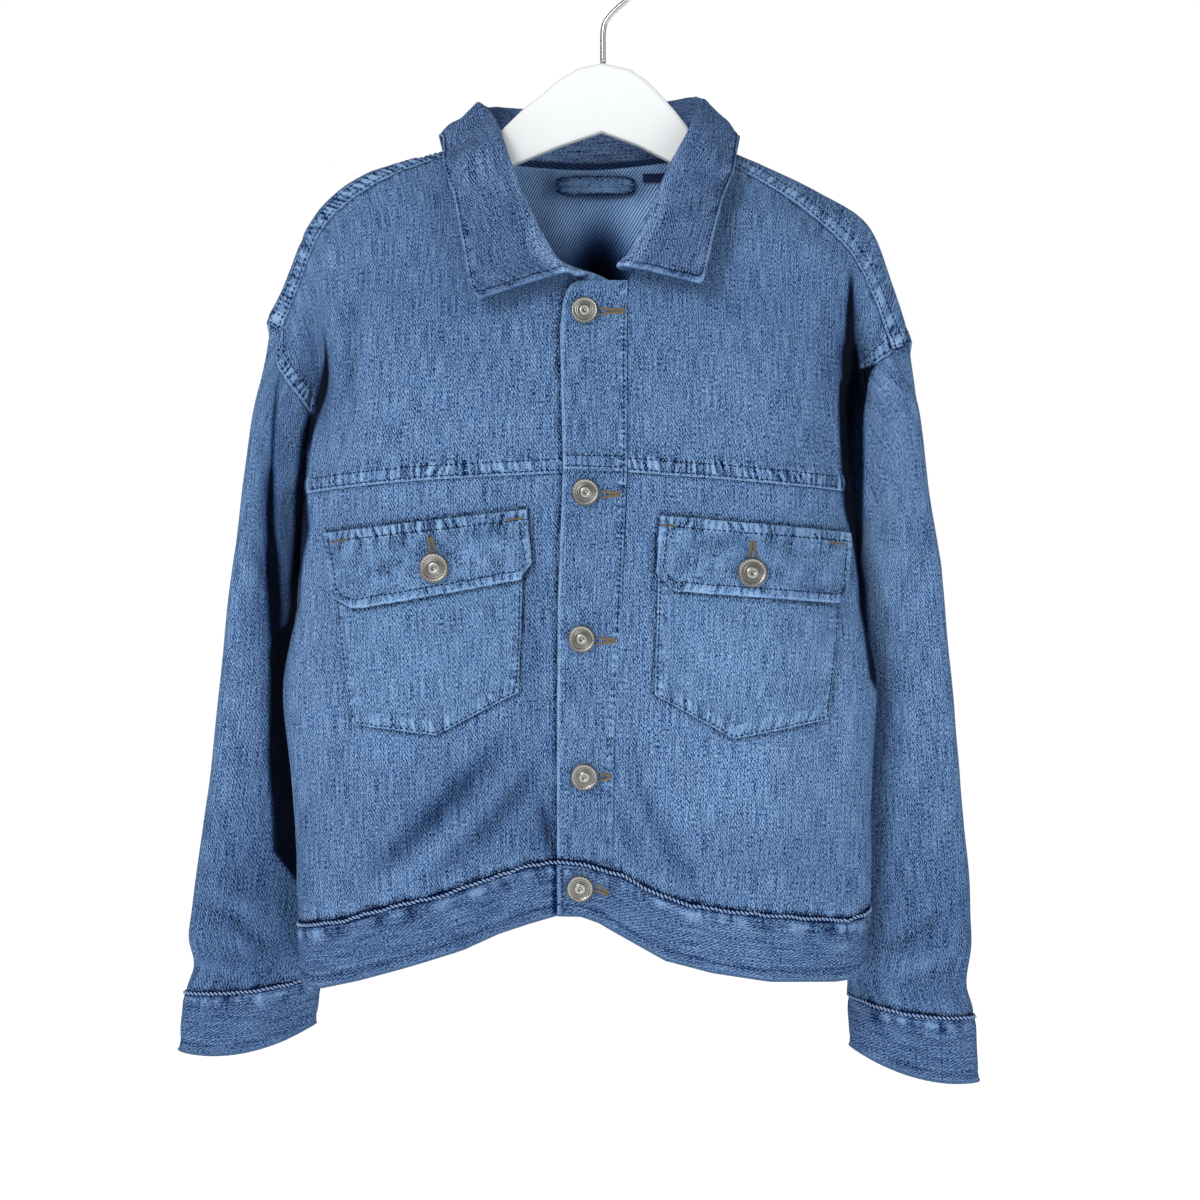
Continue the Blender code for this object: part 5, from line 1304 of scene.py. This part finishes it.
def makeStrip(name, size, back, material):
    # a strip before the inner face of the back, bowed away by a sine along its length
    down, along = neckStrips["points"]
    x = np.linspace(size["left"], size["right"], along)[None, :]
    t = np.linspace(0, 1, down)[:, None]
    z = size["top"] + (size["bottom"] - size["top"]) * t + 0 * x
    x = x + 0 * t
    y, _ = onMap(depthMap(back), x, z)
    share = (x - size["left"]) / (size["right"] - size["left"])
    bow = size["bow"] * np.sin(pi * share)
    tube = neckStrips["tube"] * np.sin(pi * t) if size["bow"] else 0 * t
    if size["bow"]:
        middle = (size["top"] + size["bottom"]) / 2
        z = middle + (z - middle) * (1 - neckStrips["drawIn"] * np.abs(2 * share - 1) ** 7)
    y = soften(y, 20) - body["cloth"] - neckStrips["gap"] - size["thick"] - bow - neckStrips["clear"]
    grid = np.stack([x, y, z], -1)
    out = np.broadcast_to((0.0, -1.0, 0.0), grid.shape)
    lift = tube + 0 * x + 0.15 * noise1(x / 3, 41)
    ends = np.minimum(x - size["left"], size["right"] - x)
    edge = np.minimum(t, 1 - t)
    worn = (0.9 * hill(t - 0.78, 0.14) + 0.35 * hill(t - 0.4, 0.2)
            + 0.6 * highs(noise1(x / 2.2, 42)) * (edge > 0.1))
    # the shade: painted shade in the recesses at its ends and along its long edges
    return cloth(name, grid, out, size["thick"], material, lift, worn if size["bow"] else 0.0,
                 1.3 * hill(ends, 3.5) + 1.2 * hill(edge, 0.1) + 0 * x, warp="across")


buttons = {
    "height": 3.4, "front": 15.6, "pocket": 17.0, "shank": 5.0, "seat": 0.35, "sides": 96, "from": -200.0,
    "ridges": 24, "ridged": 0.82, "ridge": 0.14, "ridgeWide": 0.07,  # small ridges round the outer ring
    "grooves": (0.93, 0.70, 0.575, 0.44, 0.12),  # where the finish stays dark
    # back plate, rolled rim, then rings round a dimpled middle: share of the radius, height past the rim's
    "profile": ((0.86, -2.0), (0.97, -1.6), (1.0, -1.1), (0.985, -0.5), (0.93, -0.1), (0.86, 0.02),
                (0.79, -0.1), (0.745, -0.45), (0.70, -0.62), (0.655, -0.50), (0.60, -0.48), (0.575, -0.60),
                (0.55, -0.50), (0.47, -0.40), (0.44, -0.52), (0.41, -0.30), (0.34, 0.15), (0.26, 0.28),
                (0.19, 0.12), (0.12, -0.35), (0.05, -0.5), (0.0, -0.52)),
    "plate": -2.2,  # the shank reaches this far below the rim
    "frontSpots": {"button_front_1": (-0.4, -217.2), "button_front_2": (0.2, -320.2),
                   "button_front_3": (-1.9, -402.7), "button_front_4": (-0.6, -480.1),
                   "button_front_5": (-3.1, -543.9)},
    "pocketSpots": {"button_pocket_right": (-84.9, -362.9), "button_pocket_left": (93.7, -365.4)},
}


def turned(profile, sides):
    # radius and height carried round an axis towards -Y; its first and last points are the poles
    angle = np.linspace(2 * pi, 0, sides, endpoint=False)
    radius, height = np.array(profile[1:-1]).T
    points = np.stack([radius[:, None] * np.cos(angle), np.repeat(-height[:, None], sides, axis=1),
                       radius[:, None] * np.sin(angle)], -1)
    share = 1 - np.abs(radius / radius.max() - buttons["ridged"]) / buttons["ridgeWide"]
    points[..., 1] -= np.clip(share, 0, 1)[:, None] * buttons["ridge"] * np.cos(angle * buttons["ridges"])
    return closedRings(points, (0, -profile[0][1], 0), (0, -profile[-1][1], 0))


def makeButton(name, spot, diameter, tree, nickel):
    # turned about its shank, then stood on the cloth along the nearest face's normal
    r, h, shank = diameter / 2, buttons["height"], buttons["shank"] / 2
    profile = [(0, 0.0), (shank, 0.0), (shank, h + buttons["plate"])]
    profile += [(r * share, h + rise) for share, rise in buttons["profile"]]
    points, quads = turned(profile, buttons["sides"])
    hit, normal, _, _ = tree.ray_cast(Vector((spot[0], buttons["from"], spot[1])), Vector((0, 1, 0)))
    place = hit + normal * buttons["seat"]
    turn = np.array(Vector((0, -1, 0)).rotation_difference(normal).to_matrix())
    reach = np.hypot(points[:, 0], points[:, 2]) / diameter * 2
    groove = sum(hill(reach - at, 0.035) for at in buttons["grooves"])
    ridges = np.cos(np.arctan2(points[:, 2], points[:, 0]) * buttons["ridges"])
    groove = highs(groove + 0.8 * (ridges < -0.1) * hill(reach - buttons["ridged"], 0.08))
    piece = newMesh(name + "_metal", shifted(points @ turn.T + np.array(place)), quads, nickel,
                    values={"groove": groove})
    piece.data.set_sharp_from_angle(angle=radians(50))
    return piece


hook = {
    "wire": 3.4, "radius": 20.0, "sides": 20,
    "turn": (-42, 204, 4),  # the bend, in degrees from the viewer's right
    "stem": ((0.0, -69.6), (0.0, -62.0), (0.0, -54.0), (0.6, -48.0), (3.6, -42.6), (8.8, -37.2)),
    "stemSteps": (3, 3, 4, 5, 5), "bendSteps": 8,
    "tip": ((0.3, 0.95), (0.75, 0.62)),  # rounding of its end: how far on, and size
}


def makeHook(chrome):
    # the wire's circle carried up the stem and round the bend, its ends rounded off
    r = hook["wire"] / 2
    turn = np.radians(np.arange(*hook["turn"]))
    arc = np.stack([hook["radius"] * np.cos(turn), hook["radius"] * np.sin(turn) + r - hook["radius"]], -1)
    keys = np.concatenate([np.array(hook["stem"]), arc[::6], arc[-1:]])
    line = through(keys, hook["stemSteps"] + (hook["bendSteps"],) * (len(keys) - len(hook["stem"])))
    tangent = unit(np.gradient(line, axis=0))
    size = np.ones(len(line))
    end = tangent[-1] * r
    ahead, narrow = np.array(hook["tip"]).T
    line = np.concatenate([line, line[-1:] + end * ahead[:, None]])
    tangent = np.concatenate([tangent, tangent[-1:], tangent[-1:]])
    size = np.concatenate([size, narrow]) * r
    angle = np.linspace(2 * pi, 0, hook["sides"], endpoint=False)
    side = np.stack([tangent[:, 1], -tangent[:, 0]], -1)
    ring = size[:, None, None] * np.cos(angle)[None, :, None] * side[:, None, :]
    x, z = line[:, None, 0] + ring[..., 0], line[:, None, 1] + ring[..., 1]
    points = np.stack([x, size[:, None] * np.sin(angle) + 0 * x, z], -1)
    tip = line[-3] + end
    ends = (line[0, 0], 0, line[0, 1]), (tip[0], 0, tip[1])
    return newMesh("hook_wire", *closedRings(points, *ends), chrome)


sewing = {
    "shoulderFrom": 62.0,  # the shoulder rows stop where the collar covers them
    "lit": {"yoke_right": -272, "yoke_left": -247},  # below this the armhole rows lie in the dark
    "yokeRow": (-7, 151),  # the yoke rows' middle and how far they run to either side
    "placketRow": (-395, -213), "placketSeam": (-11.5, 22.5, 40),
    "collarClear": (3.0, 2.0, 30.0),  # rows stop this far from the ends, the leaf's edge, the top
    "band": {"end": 2.8, "low": 4.2, "top": 5.2, "lap": 20},  # the waistband's lapped end
    "tacks": {"flap_right": [(-144.4, -347.8, -135.0, -346.6), (-44.0, -336.0, -35.2, -334.6)],
              "flap_left": [(42.8, -338.6, 50.4, -339.0), (138.8, -348.2, 147.4, -348.6)]},
    "holes": {"placket": [(8.0, -217.4, 21.6, -217.2), (8.6, -321.4, 18.8, -321.2),
                          (7.0, -403.6, 16.0, -403.6), (8.0, -480.6, 13.6, -480.6)],
              "flap_right": [(-85.6, -354.6, -87.2, -346.4)], "flap_left": [(94.2, -356.8, 94.2, -348.6)]},
    "holeWide": 1.7, "bandHole": (5.2, -543.4, 12.2, -547.0),
}


def makeTopstitching(made, material):
    rows = body["stitchRows"]
    middle, reach = sewing["yokeRow"]
    lines = {"yoke": [rowOn(made[piece], "bottom", row, lambda line: np.abs(line[:, 0] - middle) < reach)
                      for piece in ("yoke_right", "yoke_left") for row in rows]}
    lines["armhole"] = [rowOn(made[piece], "last", row, lambda line: line[:, 2] > sewing["lit"][piece])
                        for piece in ("yoke_right", "yoke_left") for row in rows]
    near, back = sewing["shoulderFrom"], made["back_panel"]
    lines["shoulder"] = [rowOn(back, "top", row, keep) for row in rows
                         for keep in (lambda line: line[:, 0] < -near, lambda line: line[:, 0] > near)]
    lines["side"] = [rowOn(back, edge, row) for edge in ("first", "last") for row in rows]
    lap, (low, high) = made["placket"], sewing["placketRow"]
    lines["placket"] = [rowOn(lap, "last", placket["row"],
                              lambda line: (line[:, 2] > low) & (line[:, 2] < high))]
    surface = depthMap(lap["outer"], dense["step"])
    for row in rows:
        x = np.linspace(*sewing["placketSeam"])
        z = np.interp(x, placket["seamEnds"], placket["seamAt"]) + row
        y, out = onMap(surface, x, z)
        lines["placket"].append((np.stack([x, y, z], -1), out))
    leaf, (ends, foot, top) = made["collar"], sewing["collarClear"]
    lines["collar"] = [rowOn(leaf, "bottom", collar["edgeRow"], clear=[("first", ends), ("last", ends)])]
    lines["collar"] += [rowOn(leaf, end, collar["endRow"], clear=[("bottom", foot), ("top", top)])
                        for end in ("first", "last")]
    lines["pocket"] = []
    for side in ("right", "left"):
        flap, patch = made["flap_" + side], made["pocket_" + side]
        inset, edgeIn, sewn = flaps["row"], pockets["row"], lines["pocket"]
        sewn.append(rowOn(flap, "top", flaps["topRow"]))
        sewn.append(rowOn(flap, "bottom", inset, clear=[("first", inset), ("last", inset)]))
        sewn.append(rowOn(patch, "bottom", edgeIn, clear=[("first", edgeIn), ("last", edgeIn)]))
        for edge in ("first", "last"):
            sewn.append(rowOn(flap, edge, inset, clear=[("bottom", inset), ("top", flaps["topRow"])]))
            sewn.append(rowOn(patch, edge, edgeIn, clear=[("bottom", edgeIn)]))
    band, at = made["waistband"], sewing["band"]
    lapOnly = [("first", at["end"]), ("last", band["edges"]["last"].max() - at["lap"])]
    lines["waistband"] = [rowOn(band, "first", at["end"], clear=[("top", 5.0), ("bottom", 4.0)]),
                          rowOn(band, "bottom", at["low"], clear=lapOnly),
                          rowOn(band, "top", at["top"], clear=lapOnly)]
    return [stitches(name + "_stitches", found, material) for name, found in lines.items()]


cords = {
    "sway": 1.7, "start": 20,  # the waistband's cord wanders past its first millimetres
    "cuff": (1.5, 0.4, 4), "hem": 0.9,
    "hemWaist": {"pitch": 1.6, "length": 2.6, "radius": 0.62, "lean": 0.7, "lift": -0.1},
    "hemCuff": {"pitch": 1.6, "length": 2.6, "radius": 0.6, "lean": 0.7, "lift": -0.1},
}


def makeCords(made, material, dull):
    # the laid cord in each band's upper seam, and the finer twist along its lower edge
    band, hem = made["waistband"], cords["hem"]
    s = band["edges"]["across"].mean(axis=0)
    wander = 0.5 * noise1(s / 8, 471) + 0.5 * noise1(s / 3.4, 472)
    sway = cords["sway"] + wander * smooth((s - cords["start"]) / 20)
    sewn = [twisted("waistband_cord", [rowOn(band, "top", sway)], material),
            twisted("waistband_hem", [rowOn(band, "bottom", hem)], dull, cords["hemWaist"])]
    inset, waver, length = cords["cuff"]
    for side in ("right", "left"):
        cuff = made["cuff_" + side]
        s = cuff["edges"]["across"].mean(axis=0)
        top, low = rowOn(cuff, "top", inset + waver * noise1(s / length, 473)), rowOn(cuff, "bottom", hem)
        sewn.append(twisted("cuff_" + side + "_cord", [ringed(top)], material))
        sewn.append(twisted("cuff_" + side + "_hem", [ringed(low)], dull, cords["hemCuff"]))
    return sewn


def ringed(row):
    # a line run on to its own start
    return tuple(np.concatenate([part, part[:1]]) for part in row)


def keyhole(x0, z0, x1, z1):
    # threads down both sides of a slit, round its eye near the button, and a bar across its end
    length = np.hypot(x1 - x0, z1 - z0)
    along, side = np.array([x1 - x0, z1 - z0]) / length, np.array([z0 - z1, x1 - x0]) / length
    at = np.arange(0.5, length, dense["pitch"])
    half = sewing["holeWide"] * (0.55 + 0.55 * hill(at - 1.6, 1.8))
    start = np.array([x0, z0])
    spots = [start + along * at[:, None] + side * (half * turn)[:, None] for turn in (-1, 1)]
    lays = [np.repeat([side], len(at), axis=0)] * 2
    across = np.linspace(-1.0, 1.0, 4)[:, None] * sewing["holeWide"] * 0.7
    spots.append(start + along * (length + 0.2) + side * across)
    lays.append(np.repeat([along], 4, axis=0))
    return np.concatenate(spots), np.concatenate(lays)


def makeTanWork(made, material):
    # bar tacks at the flaps' corners, then buttonholes
    sewn = [bars(name + "_tacks", made[name]["outer"], spots, material)
            for name, spots in sewing["tacks"].items()]
    slits = {name + "_buttonholes": (made[name]["outer"], found) for name, found in sewing["holes"].items()}
    band = made["waistband"]["outer"][:, :waistband["lapColumns"] + 40]
    slits["waistband_buttonhole"] = (band, [sewing["bandHole"]])
    for name, (surface, found) in slits.items():
        flat, lay = (np.concatenate(part) for part in zip(*[keyhole(*slit) for slit in found]))
        sewn.append(layOn(name, surface, flat, lay, material, dense["hole"]))
    return sewn


def add(tree, kind, links=(), **settings):
    # a node with its settings; links is a list of (input, value or socket)
    node = tree.nodes.new(kind)
    for key, value in settings.items():
        setattr(node, key, value)
    for key, value in links:
        if hasattr(value, "is_output"):
            tree.links.new(value, node.inputs[key])
        else:
            node.inputs[key].default_value = value
    return node


def maths(tree, operation, *values):
    return add(tree, "ShaderNodeMath", list(enumerate(values)), operation=operation).outputs[0]


def blend(tree, share, first, second, how="MIX"):
    node = add(tree, "ShaderNodeMix", data_type="RGBA", blend_type=how, clamp_factor=True)
    for key, value in ((0, share), (6, first), (7, second)):
        if hasattr(value, "is_output"):
            tree.links.new(value, node.inputs[key])
        else:
            node.inputs[key].default_value = value
    return node.outputs[2]


def ramp(tree, value, low, high):
    # 0 at low, 1 at high
    return add(tree, "ShaderNodeMapRange", [(0, value), (1, low), (2, high)], clamp=True).outputs[0]


def newGroup(name, inputs, outputs):
    group = bpy.data.node_groups.new(name, "ShaderNodeTree")
    for label, kind, start in inputs:
        socket = group.interface.new_socket(label, in_out="INPUT", socket_type="NodeSocket" + kind)
        socket.default_value = start
    for label, kind in outputs:
        group.interface.new_socket(label, in_out="OUTPUT", socket_type="NodeSocket" + kind)
    return group, group.nodes.new("NodeGroupInput").outputs, group.nodes.new("NodeGroupOutput").inputs


yarn = {  # per millimetre across and along, then how strongly it shows
    "speck": (2.7, 1.9, 1.6), "dash": (2.6, 0.6, 1.3), "slub": (1.2, 0.055, 0.6), "mottle": (0.06, 0.035),
    "sway": (0.25, 0.12, 2.5), "twill": (1.55, 0.15),  # the twill lines' wander; their pitch and strength
    "lean": (0.87, 0.5),  # cosine and sine of the twill's lean
    "pale": 0.4, "lining": (0.2, 0.3),  # pale yarns show more; the inner face is plainer
    "worn": 0.5, "shade": -0.62, "redDeep": 1.12, "blueDeep": 0.82,
}


def denimWeave():
    # t = 1/2 + contrast * (twill lines + specks + two widths of upright streak, the pale ones stronger)
    # + mottle + worn - shade;
    # colour runs Dark, Dyed, Worn as t goes 0, 1/2, 1; the cloth's inner face is plainer
    tree, given, put = newGroup("denim weave", [
        ("Dyed", "Color", (0.15, 0.25, 0.45, 1)), ("Worn", "Color", (0.5, 0.6, 0.75, 1)),
        ("Dark", "Color", (0.02, 0.04, 0.12, 1)), ("Lining", "Color", (0.1, 0.15, 0.3, 1)),
        ("Contrast", "Float", 1.0), ("Mottle", "Float", 0.4)],
        [("Color", "Color"), ("Height", "Float")])
    clothMap = add(tree, "ShaderNodeUVMap", uv_map="cloth").outputs[0]
    split = add(tree, "ShaderNodeSeparateXYZ", [(0, clothMap)])
    u, v = (maths(tree, "MULTIPLY", split.outputs[k], 1 / mm) for k in (0, 1))

    def mixed(a, first, b, second):
        return maths(tree, "ADD", maths(tree, "MULTIPLY", a, first), maths(tree, "MULTIPLY", b, second))

    def grain(kind, across, along, detail=0.0):
        # noise about zero
        wide, tall = yarn[kind][:2]
        place = add(tree, "ShaderNodeCombineXYZ", [(0, mixed(across, wide, along, 0.0)),
                                                   (1, mixed(along, tall, across, 0.0))]).outputs[0]
        cloud = add(tree, "ShaderNodeTexNoise", [("Vector", place), ("Scale", 1.0), ("Detail", detail),
                                                 ("Roughness", 0.6)], noise_dimensions="2D").outputs[0]
        return maths(tree, "SUBTRACT", cloud, 0.5)

    def attribute(name):
        return add(tree, "ShaderNodeAttribute", attribute_name=name).outputs["Fac"]

    c, s = yarn["lean"]
    p, q = mixed(u, c, v, -s), mixed(u, s, v, c)  # across and along the twill lines
    pitch, strength = yarn["twill"]
    twill = maths(tree, "SINE", mixed(p, 2 * pi / pitch, grain("sway", p, q, 2.0), yarn["sway"][2]))
    speck, dash, slub = grain("speck", p, q), grain("dash", u, v), grain("slub", u, v)
    yarns = maths(tree, "ADD", mixed(twill, strength, speck, yarn["speck"][2]),
                  mixed(dash, yarn["dash"][2], slub, yarn["slub"][2]))
    yarns = mixed(yarns, 0.8, maths(tree, "ABSOLUTE", yarns), yarn["pale"])
    lining, (liningTwill, liningSpeck) = attribute("lining"), yarn["lining"]
    yarns = maths(tree, "MULTIPLY", given["Contrast"], add(tree, "ShaderNodeMix", [
        (0, lining), (2, yarns), (3, mixed(twill, liningTwill, speck, liningSpeck))],
        data_type="FLOAT").outputs[0])
    # worn lightens; the shade attribute, kept dye and painted shadow together, darkens
    wearAndShade = mixed(attribute("worn"), yarn["worn"], attribute("shade"), yarn["shade"])
    mottle = maths(tree, "MULTIPLY", grain("mottle", u, v, 2.0), given["Mottle"])
    t = maths(tree, "ADD", maths(tree, "ADD", 0.5, yarns), maths(tree, "ADD", wearAndShade, mottle))
    dyed = blend(tree, lining, given["Dyed"], given["Lining"])
    colour = blend(tree, ramp(tree, t, 0.0, 0.5), given["Dark"], dyed)
    colour = blend(tree, ramp(tree, t, 0.5, 1.0), colour, given["Worn"])
    # the tone attribute, fades and painted shade, scales the colour
    tone = maths(tree, "ADD", attribute("tone"), 1.0)
    toned = add(tree, "ShaderNodeCombineXYZ", [  # deep shade keeps its blue
        (0, maths(tree, "POWER", tone, yarn["redDeep"])), (1, tone),
        (2, maths(tree, "POWER", tone, yarn["blueDeep"]))]).outputs[0]
    tree.links.new(blend(tree, 1.0, colour, toned, "MULTIPLY"), put["Color"])
    tree.links.new(yarns, put["Height"])
    return tree


def srgb(r, g, b):
    # screen values to linear light
    c = np.array([r, g, b]) / 255
    return tuple(np.where(c <= 0.04045, c / 12.92, ((c + 0.055) / 1.055) ** 2.4)) + (1.0,)


def newMaterial(name, roughness, metallic=0.0):
    made = bpy.data.materials.new(name)
    made.use_nodes = True
    shader = made.node_tree.nodes["Principled BSDF"]
    shader.inputs["Roughness"].default_value = roughness
    shader.inputs["Metallic"].default_value = metallic
    return made, made.node_tree, shader


# lining: the inner faces' colour, the paler weft side, made lighter still as painted light for the shaded inside
def denim(name, weave, dyed, worn=(147, 183, 224), dark=(3, 18, 56), lining=(118, 158, 212),
          contrast=2.3, mottle=0.24):
    made, tree, shader = newMaterial(name, 0.9)
    shader.inputs["Specular IOR Level"].default_value = 0.04
    shader.inputs["Sheen Weight"].default_value = 0.012
    shader.inputs["Sheen Roughness"].default_value = 0.5
    face = add(tree, "ShaderNodeGroup", node_tree=weave)
    for key, value in (("Dyed", srgb(*dyed)), ("Worn", srgb(*worn)), ("Dark", srgb(*dark)),
                       ("Lining", srgb(*lining)), ("Contrast", contrast), ("Mottle", mottle)):
        face.inputs[key].default_value = value
    tree.links.new(face.outputs["Color"], shader.inputs["Base Color"])
    relief = add(tree, "ShaderNodeBump", [("Strength", 0.6), ("Distance", 0.0004),
                                          ("Height", face.outputs["Height"])])
    tree.links.new(relief.outputs[0], shader.inputs["Normal"])
    return made


def plain(name, colour, roughness, metallic, spread, scale, grooves=False, gloss=0.5):
    # a painted or metal finish with a faint uneven tone; grooves stay dark
    made, tree, shader = newMaterial(name, roughness, metallic)
    shader.inputs["Specular IOR Level"].default_value = gloss
    place = add(tree, "ShaderNodeTexCoord").outputs["Object"]
    cloud = add(tree, "ShaderNodeTexNoise", [("Vector", place), ("Scale", scale), ("Detail", 4.0)]).outputs[0]
    low = tuple(c * (1 - spread) for c in colour[:3]) + (1.0,)
    tone = blend(tree, cloud, low, colour)
    if grooves:
        held = add(tree, "ShaderNodeAttribute", attribute_name="groove").outputs["Fac"]
        tone = blend(tree, held, tone, tuple(c * 0.12 for c in colour[:3]) + (1.0,))
    tree.links.new(tone, shader.inputs["Base Color"])
    tree.links.new(add(tree, "ShaderNodeMapRange", [(0, cloud), (3, roughness * 0.8), (4, roughness * 1.2)]
                       ).outputs[0], shader.inputs["Roughness"])
    return made


room = {
    "light": 0.33,  # the white room's light on the cloth
    "eye": (-0.00174, -2.0, -0.38077), "film": 36, "seen": 0.696,  # metres seen across at the hook's plane
    "lamps": (("key light", (-1.2, -2.2, 0.9), 1.0, 40.0), ("fill light", (1.8, -1.6, -0.1), 1.6, 8.0),
              ("back light", (0.3, 2.6, 0.5), 1.6, 26.0)),  # place, size, power
    "aim": (0, 0, -0.36),
    "floor": ((-4, -4, -1.1), (4, -4, -1.1), (4, 5, -1.1), (-4, 5, -1.1)), "floorGlow": 0.75,
}


def makeStage():
    # the eye stands two metres off at mid height; white room, soft key from the upper left, one lamp behind
    scene = bpy.context.scene
    eye = bpy.data.objects.new("camera", bpy.data.cameras.new("camera"))
    scene.collection.objects.link(eye)
    eye.location = room["eye"]
    eye.rotation_euler = (pi / 2, 0, 0)
    eye.data.sensor_width = room["film"]
    eye.data.lens = room["film"] * -room["eye"][1] / room["seen"]
    scene.camera = eye
    world = bpy.data.worlds.new("room")
    scene.world = world
    world.use_nodes = True
    tree = world.node_tree
    back = tree.nodes["Background"]
    back.inputs[0].default_value = (1, 1, 1, 1)
    seen = add(tree, "ShaderNodeLightPath").outputs["Is Camera Ray"]
    glow = maths(tree, "ADD", room["light"], maths(tree, "MULTIPLY", seen, 1 - room["light"]))
    tree.links.new(glow, back.inputs[1])
    for name, place, size, power in room["lamps"]:
        lamp = bpy.data.lights.new(name, "AREA")
        lamp.size = size
        lamp.energy = power
        light = bpy.data.objects.new(name, lamp)
        scene.collection.objects.link(light)
        light.location = place
        aim = Vector(room["aim"]) - Vector(place)
        light.rotation_euler = aim.to_track_quat("-Z", "Y").to_euler()
    pale = plain("pale floor", (0.95, 0.95, 0.95, 1), 0.85, 0.0, 0.01, 3.0)
    shader = pale.node_tree.nodes["Principled BSDF"].inputs
    shader["Emission Color"].default_value = (1, 1, 1, 1)
    shader["Emission Strength"].default_value = room["floorGlow"]
    newMesh("floor", np.array(room["floor"]) / mm, np.array([[0, 1, 2, 3]]), pale)
    scene.view_settings.view_transform = "Standard"


weave = denimWeave()
faded = denim("faded denim", weave, (37, 85, 149))
pocketDenim = denim("pocket denim", weave, (58, 105, 163))
bandDenim = denim("band denim", weave, (30, 64, 112), worn=(126, 158, 199), contrast=1.3)
collarDenim = denim("collar denim", weave, (23, 60, 115), worn=(128, 160, 202), contrast=2.3)
nickel = plain("antique nickel", (0.50, 0.49, 0.46, 1), 0.36, 1.0, 0.45, 700.0, grooves=True)
chrome = plain("chrome wire", (0.50, 0.51, 0.53, 1), 0.24, 1.0, 0.06, 60.0)
white = plain("white paint", (0.84, 0.86, 0.86, 1), 0.45, 0.0, 0.03, 60.0)
navy = plain("bare navy label", (0.02, 0.03, 0.09, 1), 0.7, 0.0, 0.3, 900.0, gloss=0.1)
darkThread = plain("navy thread", (0.012, 0.026, 0.075, 1), 0.75, 0.0, 0.4, 500.0, gloss=0.05)
tanThread = plain("tan thread", (0.22, 0.18, 0.115, 1), 0.75, 0.0, 0.45, 500.0, gloss=0.1)
paleCord = plain("worn cord", (0.34, 0.50, 0.80, 1), 0.85, 0.0, 0.55, 620.0, gloss=0.05)
dullCord = plain("dull cord", (0.12, 0.22, 0.40, 1), 0.85, 0.0, 0.75, 620.0, gloss=0.05)

fine, rough = (bodyGrids(body[columns], body["neckColumns"], body["yokeSteps"], body["topSteps"], body[lower])
               for columns, lower in (("columns", "lowerSteps"), ("backColumns", "backLower")))
made = makeFronts(fine, faded)
made["back_panel"] = makeBack(rough, faded)
print("panels made")
fronts = {side: np.concatenate([made["yoke_" + side]["outer"], made["front_" + side]["outer"][1:]])
          for side in ("right", "left")}
charts = {side: depthMap(fronts[side]) for side in fronts}
made["placket"] = makePlacket(charts["right"], faded)
made["waistband"] = makeWaistband(fine, rough, bandDenim)
for side, table in (("right", rightSleeve), ("left", leftSleeve)):
    made["sleeve_" + side] = makeSleeve(fine, rough, side, table, faded)
    made["cuff_" + side] = makeCuff(side, table, bandDenim)
print("placket, waistband and sleeves made")
trees = (treeOf(fronts["right"], True), treeOf(fronts["left"], False),
         treeOf(made["back_panel"]["outer"], True))
made["collar"] = makeCollar(fine, rough, trees, collarDenim)
for side in ("right", "left"):
    made["pocket_" + side] = makePocket(side, charts[side], pocketDenim)
    made["flap_" + side] = makeFlap(side, charts[side], pocketDenim)
made["hanger_loop"] = makeStrip("hanger_loop_cloth", neckStrips["loop"], rough["back"][0], faded)
made["neck_label"] = makeStrip("neck_label_cloth", neckStrips["label"], rough["back"][0], navy)
print("collar, pockets and neck made")

metal = {}
lapTree, bandTree = treeOf(made["placket"]["outer"], False), treeOf(made["waistband"]["outer"], False)
for name, spot in buttons["frontSpots"].items():
    tree = lapTree if spot[1] > placketLap[-1][0] else bandTree
    metal[name] = makeButton(name, spot, buttons["front"], tree, nickel)
for name, spot in buttons["pocketSpots"].items():
    tree = treeOf(made["flap_" + name.split("_")[-1]]["outer"], False)
    metal[name] = makeButton(name, spot, buttons["pocket"], tree, nickel)
metal["hook"] = makeHook(chrome)
print("buttons and hook made")

sewn = makeTopstitching(made, darkThread) + makeTanWork(made, tanThread) + makeCords(made, paleCord, dullCord)
print("stitching made")

for name, cut in made.items():
    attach(cut["piece"], "root")
    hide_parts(name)
for name, piece in metal.items():
    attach(piece, "root")
    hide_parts(name)
for piece in sewn:
    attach(piece, "root")
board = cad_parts["hanger"]
board.data.materials.clear()
board.data.materials.append(white)

makeStage()
bpy.context.view_layer.update()
